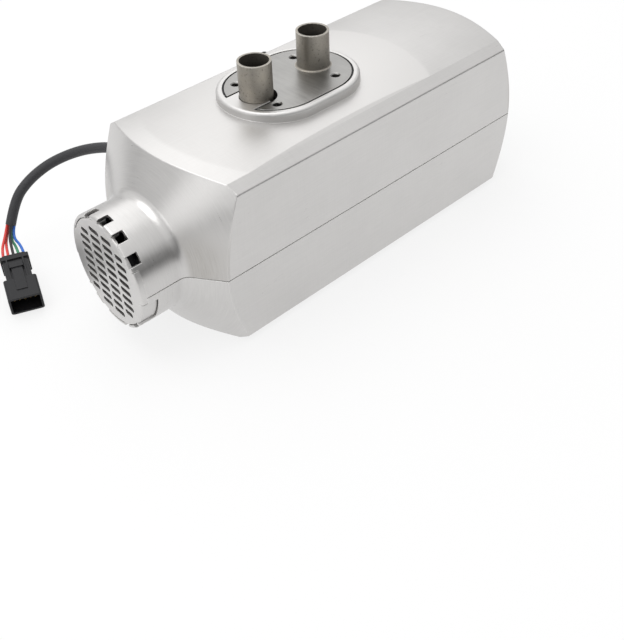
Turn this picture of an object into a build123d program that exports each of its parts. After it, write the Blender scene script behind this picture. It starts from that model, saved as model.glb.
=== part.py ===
# Diesel air heater, lying on its flat cover side with the mounting flange and its two stubs up.
# Millimetres. +X runs with the warm air, from the grille to the outlet. +Z points up, out of the flange.
# The origin is the middle of the resting face: half way along the air path, on the centreline, at the bottom.
from build123d import *
import math
import os

# ---- casing ----
intake_collar_length = 35.8      # from the mouth's foremost point to where a cone would meet the collar
body_length = 336.1              # between the two places where a cone would meet its collar
outlet_collar_length = 13.1      # from where the rear cone would meet the collar to the outlet's end
collar_radius = 42.2             # outside of both round collars
cone_slope = 0.639               # length along X for each millimetre that a cone widens
case_width = 135.6               # across the flat sides
case_height = 126.4              # from the resting face to the long top edges
bevel_width = 8.7                # of the four long bevels, measured across
bevel_drop = 5.0                 # of the same bevels, measured downwards
top_crown = 3.6                  # rise of the arched top over its long edges
axis_drop = 1.9                  # of the air path's centreline, where the shells meet, below half the height
wall = 2.5                       # of the cast shells
neck_fillet = 8.0                # where a cone runs into its collar
corner_round = 2.0               # of the long corners
end_edge_round = 0.8             # of the edges between the cones and the flat faces
edge_margin = 3.5                # kept beyond the cones when their edges are looked for
split_line_width = 0.7           # of the shadow line between the shells
split_line_depth = 0.8

# ---- raised pad and rim round the flange ----
flange_set_back = 137.7          # of the middle between the two stubs behind the start of the front cone
pad_radius = 107.0               # of the shallow round pad, in plan
pad_rise = 1.7                   # of its middle over the arched top
plate_rise = 10.9                # of the mounting plate's face over the long top edges
plate_thickness = 6.0
plate_end_radius = 35.0          # of both round ends of the plate
plate_centres = 29.0             # between the centres of those ends
plate_offset = 2.8               # of the plate's middle behind the middle of the stubs
seal_gap = 1.5                   # between the plate and the rim, filled by the seal
seal_side_clearance = 0.1
seal_recess = 0.9                # of the seal's edge below the plate's face
seal_web = 1.2                   # thickness of the seal under the plate
seal_web_width = 3.0             # of the same web on the shelf
ledge_width = 4.0                # of the shelf that carries the seal
rim_width = 4.6
rim_round = 2.4                  # of the rim's upper outer edge
notch_clearance = 2.6            # round the combustion-air stub in the plate
tongue_gap = 1.6                 # between the shell's tongue and the sides of the notch
stub_hole_clearance = 0.35       # round the combustion-air stub in the shell

# ---- stubs and fixing holes ----
stub_radius = 12.0               # outside of both stubs
stub_bore = 10.3
stub_spacing = 59.8
stub_height = 26.5               # above the plate
stub_side_step = 2.2             # the air stub stands this far to -Y, the exhaust stub to +Y
stub_root_fillet = 1.5           # of the weld round the exhaust stub's foot
weld_seat = 1.0                  # depth of the same weld in the plate
hole_radius = 3.0
hole_spacing_x = 57.0
hole_spacing_y = 43.0
hole_depth = 14.0
hole_countersink = 0.8

# ---- intake mouth and grille ----
mouth_slant = 4.1                # of the mouth off square, in degrees; its +Y side is set back
mouth_round = 1.8                # of the collar's edge at the mouth
grille_thickness = 3.6
grille_edge_round = 1.1          # of the grille's front edge
grille_fit = 0.3                 # radial, between what plugs into a collar and the collar
spigot_length = 3.5              # of the grille's thin ring behind its plate
spigot_wall = 2.0
slot_field_radius = 35.2
slot_rows = 10
slot_columns = 4
slot_row_pitch = 6.6
slot_column_pitch = 15.0
slot_height = 3.9
slot_bar_width = 2.6             # between the ends of two slots in one row
shortest_slot = 5.0
window_depth = 9.0               # of the notches in the collar's end, from the mouth
window_lip = 1.1                 # of the grille's face that stays in front of a notch
window_reach = 3.0               # of a notch into the grille's ring, measured inwards
window_angle = 10.6              # that one notch takes up, in degrees
window_pitch = 23.3
window_first = 51.7              # middle of the first upper notch, from the top to -Y
window_count = 4
low_window_first = 137.5         # middle of the first notch in the cover side, from the top, on both sides
low_window_count = 2
lug_angles = (61.5, 96.0)        # where the grille's rim lugs lie, from the top, on both sides
lug_depth = 4.6
tab_angles = (97.5, 129.0)       # where the grille's side tabs lie, from the top, on both sides
tab_depth = 12.6
tab_recess = 1.6                 # of a tab below the collar's surface
tab_side_gap = 0.5
lug_side_gap = 0.5               # in degrees, at both ends of a lug or tab

# ---- outlet ----
outlet_rim = 2.0                 # of the outlet's rim over the collar's end
outlet_spigot_length = 8.0
outlet_blades = 6
outlet_blade_thickness = 1.6
outlet_blade_depth = 9.0
outlet_blade_angle = 28.0
outlet_ring_width = 5.0
outlet_bar_width = 3.0           # of the upright bar behind the blades
outlet_bar_depth = 2.0
outlet_bar_gap = 7.0             # between that bar and the outlet's end
overlap = 0.5                    # by which the features of one piece run into each other

# ---- heat exchanger ----
exchanger_front_reach = 33.0     # from the flange's middle forwards
exchanger_rear_gap = 41.4        # from the start of the rear cone
elbow_core_gap = 3.0             # between the combustion-air elbow and the exchanger's core
core_wall = 4.0
fin_count = 28
fin_thickness = 1.8
fin_clearance = 2.8              # between the fins and the shells
fuel_room = 6.5                  # kept free at both sides for the fuel tube
fin_front_gap = 16.0             # from the exchanger's front
fin_rear_gap = 10.0              # from the exchanger's rear
fin_clear_half_angle = 40.0      # left free of fins on top, below the flange
fin_clear_sensor_gap = 14.0      # behind the sensor's middle
head_flange_width = 6.0          # of the exchanger's and the burner head's flanges beyond the core
head_flange_thickness = 6.0
head_flat_gap = 1.8              # between the flanges' flat tops and the elbow
riser_radius = 15.0              # of the exhaust riser between the core and the plate
column_radius = 6.0              # of the columns below the fixing holes
core_overlap = 3.0               # of the riser into the core

# ---- burner ----
head_hub_length = 7.0            # of the burner head in front of its flange
burner_gasket_thickness = 1.0
head_disc_thickness = 6.0
head_hub_gap = 2.0               # of the hub's radius below the core's bore
head_hub_wall = 10.0             # between the hub's outside and its hollow
chamber_gap = 5.0                # between the core's bore and the chamber
chamber_wall = 1.5
chamber_length = 62.0
chamber_hole_radius = 1.6
chamber_hole_rings = 3
chamber_hole_pitch = 15.0
chamber_holes_per_ring = 12
flame_tube_step = 5.0            # of its radius below the chamber's
flame_tube_wall = 1.2
flame_tube_end_gap = 33.0        # from the exchanger's rear
screen_gap = 4.0                 # between the burner head and the mixing screen
screen_thickness = 2.0
screen_hole_radius = 2.6
screen_edge = 7.0                # from the screen's outside to its outer ring of holes
screen_outer_holes = 12
screen_inner_holes = 6
plug_set_back = 11.0             # of the glow plug behind the exchanger's front
plug_angle = 128.0               # from the top, towards -Y
plug_radius = 3.0
plug_tip_radius = 12.0           # distance of its tip from the air path's centreline
plug_hex_across = 8.0
plug_hex_length = 6.0
plug_cap_radius = 2.6
plug_cap_length = 8.0
plug_boss_radius = 5.0
plug_boss_height = 2.0           # over the core
head_cavity_depth = 10.0
passage_radius = 5.0             # of the three air passages from the blower into the burner head
passage_edge = 7.0               # from the hollow's outside to the passages' centres
passage_count = 3
passage_turn = 60.0
head_screw_step = 2.0            # of the screws' circle over the core's radius
head_screw_angles = (52, 128, 232, 308)
screw_radius = 2.5
screw_head_radius = 4.4
screw_head_height = 4.0
screw_socket_across = 4.0

# ---- combustion-air elbow ----
elbow_riser_radius = 11.6        # of the air stub's tube inside the casing
elbow_leg_radius = 10.8
elbow_leg_bore = 9.0
elbow_plug_radius = 9.6          # of the leg's end inside the blower's port
elbow_plug_bore = 8.0
elbow_plug_length = 6.0
elbow_corner_bore = 9.8
port_set_back = 9.4              # of the upright neck in front of the burner head
port_neck_radius = 8.4
port_neck_bore = 6.5
port_bore = 8.6
port_radius = 11.5
port_clearance = 0.5             # between the port and the shell

# ---- blower and motor ----
blower_control_gap = 4.0         # between the blower and the control unit over it
blower_gasket_thickness = 0.8
blower_cover_thickness = 8.0
blower_housing_length = 19.2
blower_channel_depth = 4.0       # of the ring channel in the cover, opposite the impeller's blades
blower_channel_width = 11.0
blower_channel_stop = 15.0       # half the angle that the channel leaves out at the bottom, in degrees
blower_screw_inset = 3.5         # of the screws' centres inside the blower's outside
blower_screw_angles = (28, 152, 208, 332)
blower_screw_radius = 2.0
blower_screw_head_radius = 3.5
blower_screw_end_gap = 1.0       # of the screws' ends in front of the head's flange
ear_radius = 4.5                 # of the burner head's ears that take the blower's screws
control_pad_width = 36.0         # of the pad on the cover that carries the control unit
impeller_clearance = 1.2
impeller_rim = 8.0               # of the blower beyond the impeller
impeller_thickness = 7.0
impeller_blades = 24
impeller_web = 2.0
impeller_hub_radius = 8.0
impeller_blade_thickness = 1.2
motor_step = 14.0                # of the motor's radius below the blower's
motor_length = 52.0
motor_wall = 2.0
end_cap_length = 7.0
end_cap_vent_radius = 3.0
end_cap_vent_angles = (60, 120, 240, 300)
shaft_radius = 2.5
bush_radius = 6.0
bush_length = 6.0
bush_clearance = 0.05            # radial, between the shaft and its bushes
shaft_hole_clearance = 1.0       # radial, where the shaft passes a wall
armature_length = 30.0
armature_slots = 7
armature_slot_width = 2.4
armature_core_radius = 7.0       # inside the slots
magnet_thickness = 5.0
magnet_gap = 1.0                 # between the armature and the field magnets
magnet_half_angle = 62.0         # of one field magnet, seen from the shaft
terminal_block_width = 12.0      # on the motor's end cap
terminal_block_rise = 3.0        # over the motor
fan_clearance = 3.3              # between the fan and the collar
fan_hub_radius = 15.0
fan_nose_round = 6.0
fan_nose_wall = 4.0              # of the fan's hub in front of the shaft
fan_length = 20.0
fan_blades = 9
fan_blade_pitch = 38.0           # of a blade against the fan's plane
fan_blade_thickness = 1.8
fan_blade_inset = 0.5            # of the blades inside the hub's length
fan_front_gap = 4.5              # between the grille and the fan
speed_magnet_radius = 4.0
speed_magnet_thickness = 3.0
speed_magnet_circle = 10.0

# ---- control unit ----
control_length = 44.0
control_width = 88.0
control_height = 19.0
control_wall = 2.0
control_set_back = 18.0          # of its rear in front of the burner head
control_lid_thickness = 1.5
control_post_radius = 3.2
control_post_inset = 3.0         # of the corner posts' centres from the case's outer faces
control_screw_radius = 1.4
control_screw_length = 10.0
control_screw_head_radius = 2.6
control_screw_head_height = 1.6
board_thickness = 1.6
board_height = 5.0               # of its underside over the case's inner floor
board_margin = 2.0
board_side_gap = 0.4
board_post_radius = 2.5
board_post_inset = 13.0
relay_length = 18.0
relay_width = 15.0
relay_height = 7.0
relay_x = -5.0                   # of the relays' middle from the board's middle
relay_places = (-14.5, 9.5)      # of the relays' middles along the board
chip_length = 6.0
chip_width = 8.0
chip_height = 4.0
chip_x = 12.0
chip_pitch = 12.0
chip_count = 5
damper_radius = 5.0
damper_height = 2.6
damper_inset = 12.0

# ---- fuel tube ----
fuel_radius = 2.5
fuel_bore = 1.25
fuel_grommet_radius = 7.0
fuel_grommet_neck = 5.0
fuel_grommet_lip = 3.0
fuel_grommet_round = 1.5
fuel_exit_set_back = 10.2        # of the tube's exit behind the exhaust stub
fuel_exit_drop = 11.5            # of the grommet's centre below the long top edge
fuel_bend = 8.0
fuel_inlet_set_back = 3.5        # of the tube's inner end behind the burner head's front
fuel_inlet_gap = 1.0             # between the head's hollow and the tube's end
fuel_fin_gap = 1.0               # between the fins' tips and the tube's long run
fuel_turn = 9.0                  # of the long run's end in front of the upright run
fuel_long_rise = 5.0
fuel_upright_foot = 29.0         # of the upright run's foot over the air path's centreline
fuel_upright_inset = 2.5
fuel_bend_reach = 8.0            # of the outer bend from the casing's side
fuel_end_reach = 20.2            # of the tube's outer end from the casing's side
fuel_end_drop = 7.9              # of the same end below the grommet

# ---- overheat sensor ----
sensor_set_back = 59.0           # behind the flange's middle
sensor_radius = 7.0
sensor_height = 6.0
sensor_pocket_depth = 1.4
sensor_pocket_clearance = 1.0
sensor_stub_radius = 2.0
sensor_stub_length = 5.0
sensor_stub_rise = 3.1           # over the sensor's underside
sensor_strap_width = 8.0
sensor_strap_reach = 13.0        # from the sensor's middle to the outside of each foot
sensor_strap_thickness = 1.0

# ---- loom ----
sleeve_diameter = 8.0
wire_diameter = 2.2
wire_circle = 2.8                # of the five wires' centres, at the sleeve's end
wire_straight_start = 10.0       # first run of each wire, out of the sleeve
wire_straight_end = 12.0         # last run of each wire, into the connector
gland_radius = 9.0
gland_set_back = 3.0             # in front of the control unit's middle
gland_drop = 18.3                # below the control unit
gland_length = 7.0               # outside the casing
gland_inner_length = 5.5         # inside the casing
gland_flange_thickness = 2.5
gland_nose_radius = 5.6
gland_groove = 1.6
lead_diameter = 2.6
lead_inset = 2.5                 # of the leads that leave the control unit's underside, from its sides
glow_lead_steps = [              # from the glow plug along X, in from the side, up from the centreline
    (-59.0, 26.3, 8.7),
    (-44.0, 11.8, -21.3),
    (-19.0, 7.8, -43.3),
]
glow_lead_end = 20.0             # last run, in line with the glow plug
sensor_lead_steps = [            # from the sensor along X, angle from the top, out from the core
    (-102.0, 34.9, 23.4),
    (-70.0, 39.6, 22.0),
    (-32.0, 41.7, 21.2),
]
sensor_lead_slant = 41.2         # angle from the top of the lead's last bend
sleeve_straight = 20.2           # first run of the sleeve, out of the gland
sleeve_steps = [                 # from the gland along X, out from the casing's side, height over the rest
    (-6.5, 50.2, 77.0),
    (-16.0, 68.2, 69.0),
    (-31.0, 80.2, 61.0),
    (-49.0, 83.2, 53.0),
    (-64.0, 82.2, 43.0),
    (-74.3, 78.2, 27.0),
]

# ---- connector ----
connector_rear_step = (-91.0, 49.6, 17.4)     # middle of its rear face, measured like the sleeve's bends
connector_front_step = (-109.4, 6.9, 8.8)     # middle of its open front
connector_width = 19.0
connector_height = 14.0
connector_skirt_width = 24.4
connector_skirt_height = 16.4
connector_skirt_length = 20.0
connector_rib = 1.2
connector_rib_place = 6.0        # of both ribs from the middle
connector_collar_length = 4.0
connector_cavity_wall = 1.6
connector_cavity_depth = 14.0
latch_width = 8.0
latch_height = 1.8
latch_start = 12.0
latch_end_gap = 8.0
latch_grip_length = 5.0
latch_grip_width = 10.0
latch_grip_rise = 0.8
wire_row_pitch = 3.9
terminal_row_height = 2.6        # of both rows of blades over and under the middle
terminal_width = 1.6
terminal_thickness = 0.8
terminal_length = 6.0
connector_seal_length = 3.0
connector_seal_inset = 1.0
connector_edge_round = 1.0

# ---- worked out from the sizes above ----
overall_length = intake_collar_length + body_length + outlet_collar_length
front_x = -overall_length / 2
rear_x = overall_length / 2
front_cone_x = front_x + intake_collar_length
rear_cone_x = rear_x - outlet_collar_length
mouth_rise = collar_radius * math.tan(math.radians(mouth_slant))
mouth_x = front_x + mouth_rise
top_windows = [window_first - index * window_pitch for index in range(window_count)]
low_windows = [low_window_first + index * window_pitch for index in range(low_window_count)]
half_width = case_width / 2
top_half_width = half_width - bevel_width
axis_height = case_height / 2 - axis_drop
crown_radius = (top_half_width ** 2 + top_crown ** 2) / (2 * top_crown)
crown_top = case_height + top_crown
cone_reach = cone_slope * (math.hypot(half_width, case_height - axis_height) - collar_radius)
flange_x = front_cone_x + flange_set_back
plate_x = flange_x + plate_offset
air_stub_x = flange_x - stub_spacing / 2
exhaust_stub_x = flange_x + stub_spacing / 2
air_stub_y = -stub_side_step
plate_top = case_height + plate_rise
stub_top = plate_top + stub_height
plate_bottom = plate_top - plate_thickness
ledge_top = plate_bottom - seal_web
rim_inner_radius = plate_end_radius + seal_gap
rim_outer_radius = rim_inner_radius + rim_width
notch_half_width = stub_radius + notch_clearance
inner_top = case_height - wall
collar_bore = collar_radius - wall
spigot_radius = collar_bore - grille_fit
big_radius = case_width
elbow_z = inner_top - port_radius - port_clearance
core_radius = elbow_z - elbow_riser_radius - elbow_core_gap - axis_height
core_bore = core_radius - core_wall
core_top = axis_height + core_radius
exchanger_front_x = flange_x - exchanger_front_reach
exchanger_rear_x = rear_cone_x - exchanger_rear_gap
fin_tip_radius = min(axis_height - wall, half_width - wall - fuel_room) - fin_clearance
head_flange_radius = core_radius + head_flange_width
head_flange_flat = elbow_z - elbow_leg_radius - head_flat_gap - axis_height
head_screw_circle = core_radius + head_screw_step
head_rear_x = exchanger_front_x - burner_gasket_thickness
head_flange_x = head_rear_x - head_disc_thickness
head_front_x = head_flange_x - head_hub_length
head_hub_radius = core_bore - head_hub_gap
head_cavity_radius = head_hub_radius - head_hub_wall
passage_circle = head_cavity_radius - passage_edge
chamber_radius = core_bore - chamber_gap
chamber_bore = chamber_radius - chamber_wall
chamber_rear_x = head_rear_x + chamber_length
flame_tube_radius = chamber_radius - flame_tube_step
flame_tube_end_x = exchanger_rear_x - flame_tube_end_gap
plug_x = exchanger_front_x + plug_set_back
plug_seat_radius = core_radius + plug_boss_height
control_rear_x = head_front_x - control_set_back
control_front_x = control_rear_x - control_length
control_x = control_rear_x - control_length / 2
control_top = inner_top - damper_height
control_bottom = control_top - control_height
blower_radius = control_bottom - blower_control_gap - axis_height
blower_screw_circle = blower_radius - blower_screw_inset
blower_front_x = head_front_x - blower_housing_length
cover_rear_x = blower_front_x - blower_gasket_thickness
cover_front_x = cover_rear_x - blower_cover_thickness
port_x = head_front_x - port_set_back
impeller_radius = blower_radius - impeller_rim
impeller_front_x = blower_front_x + blower_gasket_thickness / 2
impeller_rear_x = impeller_front_x + impeller_thickness
blower_channel_inner = impeller_radius - blower_channel_width
cavity_rear_x = impeller_rear_x + impeller_clearance
cavity_radius = impeller_radius + impeller_clearance
motor_radius = blower_radius - motor_step
motor_front_x = cover_front_x - motor_length
motor_middle_x = (motor_front_x + cover_front_x) / 2
end_cap_x = motor_front_x - end_cap_length
armature_radius = motor_radius - motor_wall - magnet_thickness - magnet_gap
terminal_block_top = axis_height + motor_radius + terminal_block_rise
fan_front_x = mouth_x + mouth_rise + grille_thickness + fan_front_gap
fan_rear_x = fan_front_x + fan_length
fan_radius = collar_bore - fan_clearance
fuel_exit_x = exhaust_stub_x + fuel_exit_set_back
fuel_exit_height = case_height - fuel_exit_drop
fuel_inlet_x = head_front_x + fuel_inlet_set_back
fuel_side = fin_tip_radius + fuel_fin_gap + fuel_radius
sensor_x = flange_x + sensor_set_back
sensor_bottom = core_top - sensor_pocket_depth
sensor_top = sensor_bottom + sensor_height
gland_x = control_x - gland_set_back
gland_z = control_bottom - gland_drop
gland_end = half_width + gland_length
sleeve_route = [(gland_x, gland_end, gland_z), (gland_x, gland_end + sleeve_straight, gland_z)]
sleeve_route += [(gland_x + along, half_width + out, height) for along, out, height in sleeve_steps]


# ---- small helpers ----
def rod_x(x0, x1, radius, y=0.0, z=axis_height):
    """A round rod along X."""
    return Pos((x0 + x1) / 2, y, z) * Rot(0, 90, 0) * Cylinder(radius, abs(x1 - x0))


def tube_x(x0, x1, outer, inner, y=0.0, z=axis_height):
    """A round tube along X."""
    return rod_x(x0, x1, outer, y, z) - rod_x(min(x0, x1) - 1, max(x0, x1) + 1, inner, y, z)


def rod_z(z0, z1, radius, x=0.0, y=0.0):
    """A round rod along Z."""
    return Pos(x, y, (z0 + z1) / 2) * Cylinder(radius, z1 - z0)


def rod_y(y0, y1, radius, x, z):
    """A round rod along Y."""
    return Pos(x, (y0 + y1) / 2, z) * Rot(90, 0, 0) * Cylinder(radius, abs(y1 - y0))


def block(x0, x1, y0, y1, z0, z1):
    """A box between two corners."""
    return Pos((x0 + x1) / 2, (y0 + y1) / 2, (z0 + z1) / 2) * Box(x1 - x0, y1 - y0, z1 - z0)


def stadium(radius, z0, z1, x=plate_x):
    """An upright slab with two round ends, along X."""
    outline = Pos(x, 0) * SlotCenterToCenter(plate_centres, 2 * radius)
    return Pos(0, 0, z0) * extrude(outline, z1 - z0)


def around_axis(angle_from_top, radius, x=0.0):
    """A point at an angle from the top round the air path; positive angles turn to -Y."""
    turn = math.radians(angle_from_top)
    return Vector(x, -radius * math.sin(turn), axis_height + radius * math.cos(turn))


def wedge_x(x0, x1, first_angle, last_angle, radius=big_radius):
    """A wedge round the air path between two angles from the top, used as a cutter."""
    middle = (first_angle + last_angle) / 2
    corners = [(0, 0)]
    for angle in (first_angle, middle, last_angle):
        turn = math.radians(angle)
        reach = radius / math.cos(math.radians((last_angle - first_angle) / 2))
        corners.append((-reach * math.sin(turn), reach * math.cos(turn)))
    face = make_face(Plane.YZ * Polyline(*corners, close=True))
    return Pos(x0, 0, axis_height) * extrude(face, x1 - x0, dir=(1, 0, 0))


def mouth_slab(first, last):
    """A slab parallel to the intake's mouth, between two depths behind it."""
    slab = Pos((first + last) / 2, 0, 0) * Box(last - first, 2 * big_radius, 2 * big_radius)
    return Pos(mouth_x, 0, axis_height) * Rot(0, 0, -mouth_slant) * slab


def swept_tube(points, diameter, radii=None):
    """A round tube along straight runs that are joined by arcs; returns the solid and its length."""
    if radii is None:
        radii = bend_radii(points)
    path = FilletPolyline(*points, radius=radii)
    section = Plane(origin=path @ 0, z_dir=path % 0) * Circle(diameter / 2)
    return sweep(section, path=path), path.length


def bend_radii(points):
    """For each inner point of a route, the radius that its two runs allow."""
    radii = []
    for before, here, after in zip(points[:-2], points[1:-1], points[2:]):
        first = Vector(*here) - Vector(*before)
        second = Vector(*after) - Vector(*here)
        turn = math.radians(first.get_angle(second))
        shorter = min(first.length, second.length)
        radii.append(0.45 * shorter / math.tan(turn / 2))
    return radii


# ---- casing ----
def air_path_form(inset):
    """The round form of collars and cones, drawn inwards by the inset."""
    cone_shift = inset * (math.sqrt(1 + cone_slope ** 2) - cone_slope)
    radius = collar_radius - inset
    reach = big_radius - radius
    front_corner = front_cone_x + cone_shift
    rear_corner = rear_cone_x - cone_shift
    outline = Polyline(
        (front_x, 0),
        (front_x, radius),
        (front_corner, radius),
        (front_corner + cone_slope * reach, big_radius),
        (rear_corner - cone_slope * reach, big_radius),
        (rear_corner, radius),
        (rear_x, radius),
        (rear_x, 0),
        close=True,
    )
    face = make_face(outline)
    necks = [v for v in face.vertices() if abs(v.Y - radius) < 0.01 and front_x + 1 < v.X < rear_x - 1]
    face = fillet(necks, neck_fillet + inset)
    return Pos(0, 0, axis_height) * revolve(Plane.XZ * face, Axis.X)


def body_section(inset, top):
    """The body's cross-section below a ridge; its long corners are rounded."""
    side = half_width - inset
    slope = bevel_drop / bevel_width
    slant = inset * (math.sqrt(1 + slope ** 2) - slope)
    upper = case_height - bevel_drop - slant
    lower = bevel_drop + slant
    flat = side - (lower - inset) / slope
    ridge = min(top, upper + slope * side)
    ridge_half = side - (ridge - upper) / slope
    outline = Polyline(
        (-flat, inset),
        (flat, inset),
        (side, lower),
        (side, upper),
        (ridge_half, ridge),
        (-ridge_half, ridge),
        (-side, upper),
        (-side, lower),
        close=True,
    )
    face = make_face(outline)
    corners = [v for v in face.vertices() if v.Y < upper + 0.01]
    face = fillet(corners, max(corner_round - inset / 2, 0.5))
    return face


def body_form(inset, top):
    face = body_section(inset, top)
    return Pos(front_x - 1, 0, 0) * extrude(Plane.YZ * face, overall_length + 2)


def arched_top():
    """Everything below the arched top, with the shallow round pad about the flange."""
    reach = half_width + 10
    depth = crown_radius - math.sqrt(crown_radius ** 2 - reach ** 2)
    arch = make_face(
        Polyline((-reach, crown_top - depth), (-reach, -5), (reach, -5), (reach, crown_top - depth))
        + ThreePointArc((-reach, crown_top - depth), (0, crown_top), (reach, crown_top - depth))
    )
    slab = Pos(front_x - 1, 0, 0) * extrude(Plane.YZ * arch, overall_length + 2)
    return slab + round_pad(reach)


def round_pad(reach):
    """The pad is part of a wide ring surface that meets the arched top on a circle."""
    long_radius = pad_radius ** 2 / (2 * pad_rise)
    cross_radius = 1 / (1 / crown_radius + 1 / long_radius)
    top = crown_top + pad_rise
    depth = cross_radius - math.sqrt(cross_radius ** 2 - reach ** 2)
    base = axis_height
    section = make_face(
        Polyline((-reach, top - depth), (-reach, base), (reach, base), (reach, top - depth))
        + ThreePointArc((-reach, top - depth), (0, top), (reach, top - depth))
    )
    half_turn = math.degrees((pad_radius + 15) / long_radius)
    hub = Axis((flange_x, 0, top - long_radius), (0, 1, 0))
    upright = Pos(flange_x, 0, 0) * (Plane.YZ * section)
    return revolve(upright.rotate(hub, -half_turn), hub, 2 * half_turn)


def casing_outside():
    form = body_form(0, case_height + 8) & arched_top()
    form = (form & air_path_form(0)).solid()
    form = fillet(cone_edges(form), end_edge_round)
    return rounded_mouth(form)


def rounded_mouth(form):
    """Cuts the intake collar to the slanted mouth and rounds its edge."""
    form = (form - mouth_slab(-intake_collar_length, 0)).solid()
    rim = form.edges().sort_by(Axis.X)[0]
    return fillet(rim, mouth_round)


def cone_edges(form):
    """The edges where the two cones cut the flat faces, the arched top and the long corners."""
    found = []
    for edge in form.edges():
        middle = edge.center()
        extent = edge.bounding_box()
        from_axis = math.hypot(middle.Y, middle.Z - axis_height)
        long_edge = extent.size.X > case_width / 2
        on_front_cone = extent.max.X < front_cone_x + cone_reach + edge_margin
        on_rear_cone = extent.min.X > rear_cone_x - cone_reach - edge_margin
        if from_axis > collar_radius + 10 and not long_edge and (on_front_cone or on_rear_cone):
            found.append(edge)
    return found


def casing_inside():
    return (body_form(wall, inner_top) & air_path_form(wall)).solid()


def split_groove(outside):
    """The shadow line round the casing where the two shells meet."""
    core = body_form(split_line_depth, case_height) & air_path_form(split_line_depth)
    band = block(front_x - 5, rear_x + 5, -big_radius, big_radius,
                 axis_height - split_line_width / 2, axis_height + split_line_width / 2)
    return (outside & band) - core


def mouth_wedge(first_angle, last_angle, first_depth, last_depth):
    """A wedge round the air path, between two depths behind the mouth."""
    wedge = wedge_x(front_x - 1, front_cone_x, first_angle, last_angle)
    return wedge & mouth_slab(first_depth, last_depth)


def windows(middles, first_depth):
    """Notches in the end of the intake collar, from a depth behind the mouth."""
    half = window_angle / 2
    return [mouth_wedge(middle - half, middle + half, first_depth, window_depth) for middle in middles]


def both_sides(middles):
    return middles + [-middle for middle in middles]


def mirrored_wedges(angles, first_depth, last_depth):
    first, last = angles
    return [mouth_wedge(first, last, first_depth, last_depth),
            mouth_wedge(-last, -first, first_depth, last_depth)]


def grille_places():
    """What the grille's lugs and tabs take up of the collar's end."""
    lugs = mirrored_wedges(lug_angles, -1, lug_depth)
    return lugs + mirrored_wedges(tab_angles, -1, tab_depth + tab_side_gap)


def flange_boss():
    """The raised rim with its rounded shoulder, still solid."""
    boss = stadium(rim_outer_radius, axis_height, plate_top)
    shoulder = boss.edges().group_by(Axis.Z)[-1]
    return fillet(shoulder, rim_round)


def flange_opening():
    """What is cut out of the rim for the plate, the seal and the exchanger's neck."""
    pocket = stadium(rim_inner_radius, ledge_top, plate_top + 1)
    pocket -= air_tongue()
    through = stadium(rim_inner_radius - ledge_width, inner_top - 5, plate_top + 1)
    through -= air_tongue()
    air_hole = rod_z(inner_top - 5, plate_top + 1, stub_radius + stub_hole_clearance, air_stub_x, air_stub_y)
    return pocket + through + air_hole


def air_tongue():
    """The shell's tongue in the plate's notch, from the rim to the combustion-air stub."""
    reach = rim_inner_radius + plate_centres / 2
    half = notch_half_width - tongue_gap
    return block(plate_x - reach - 2, air_stub_x + 1, air_stub_y - half, air_stub_y + half,
                 inner_top - 5, plate_top)


def flange_side_shell():
    outside = casing_outside()
    shell = (outside + flange_boss()) - casing_inside()
    shell -= flange_opening()
    shell -= split_groove(outside)
    shell &= block(front_x - 5, rear_x - outlet_rim, -big_radius, big_radius, axis_height, stub_top)
    for cutter in windows(top_windows, -1) + grille_places():
        shell -= cutter
    shell -= rod_y(half_width - 5, half_width + 5, gland_radius - gland_groove, gland_x, gland_z)
    shell -= rod_y(half_width - 5, half_width + 5, fuel_grommet_neck, fuel_exit_x, fuel_exit_height)
    return shell


def cover_shell():
    outside = casing_outside()
    shell = outside - casing_inside()
    shell -= split_groove(outside)
    shell &= block(front_x - 5, rear_x - outlet_rim, -big_radius, big_radius, -5, axis_height)
    for cutter in windows(both_sides(low_windows), -1) + grille_places():
        shell -= cutter
    return shell


# ---- grille and outlet ----
def slot_outlines():
    """The grille's slots: rows of rounded slots, shortened to stay inside a circle."""
    outlines = []
    half_height = slot_height / 2
    for row in range(slot_rows):
        z = (row - (slot_rows - 1) / 2) * slot_row_pitch
        reach = math.sqrt(slot_field_radius ** 2 - (abs(z) + half_height * 0.6) ** 2)
        for column in range(slot_columns):
            middle = (column - (slot_columns - 1) / 2) * slot_column_pitch
            half = (slot_column_pitch - slot_bar_width) / 2
            left = max(middle - half, -reach)
            right = min(middle + half, reach)
            if right - left >= shortest_slot:
                outlines.append(Pos((left + right) / 2, z) * SlotOverall(right - left, slot_height))
    return outlines


def intake_grille():
    face = Circle(spigot_radius)
    for outline in slot_outlines():
        face -= outline
    bars = Pos(front_x - 1, 0, axis_height) * extrude(Plane.YZ * face, intake_collar_length)
    outside = rod_x(front_x - 1, front_cone_x, spigot_radius) & mouth_slab(0, grille_thickness)
    outside = outside.solid()
    outside = fillet(outside.edges().sort_by(Axis.X)[0], grille_edge_round)
    ring = tube_x(front_x, front_cone_x, spigot_radius, spigot_radius - spigot_wall)
    ring = ring & mouth_slab(grille_thickness - overlap, grille_thickness + spigot_length)
    notches = grille_notches()
    pieces = [ring - notches]
    band = tube_x(front_x, front_cone_x, collar_radius, spigot_radius - spigot_wall)
    for wedge in mirrored_wedges(inset_angles(lug_angles), 0, lug_depth):
        pieces.append((band & wedge) & rounded_collar(0))
    for wedge in mirrored_wedges(inset_angles(tab_angles), 0, tab_depth):
        pieces.append((band & wedge) & rounded_collar(tab_recess))
    return ((bars & outside) - notches) + pieces


def grille_notches():
    """The grille's share of the notches in the collar's end."""
    reach = tube_x(front_x - 1, front_cone_x, collar_radius + 1, spigot_radius - window_reach)
    return [reach & notch for notch in windows(top_windows + both_sides(low_windows), window_lip)]


def inset_angles(angles):
    return (angles[0] + lug_side_gap, angles[1] - lug_side_gap)


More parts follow.
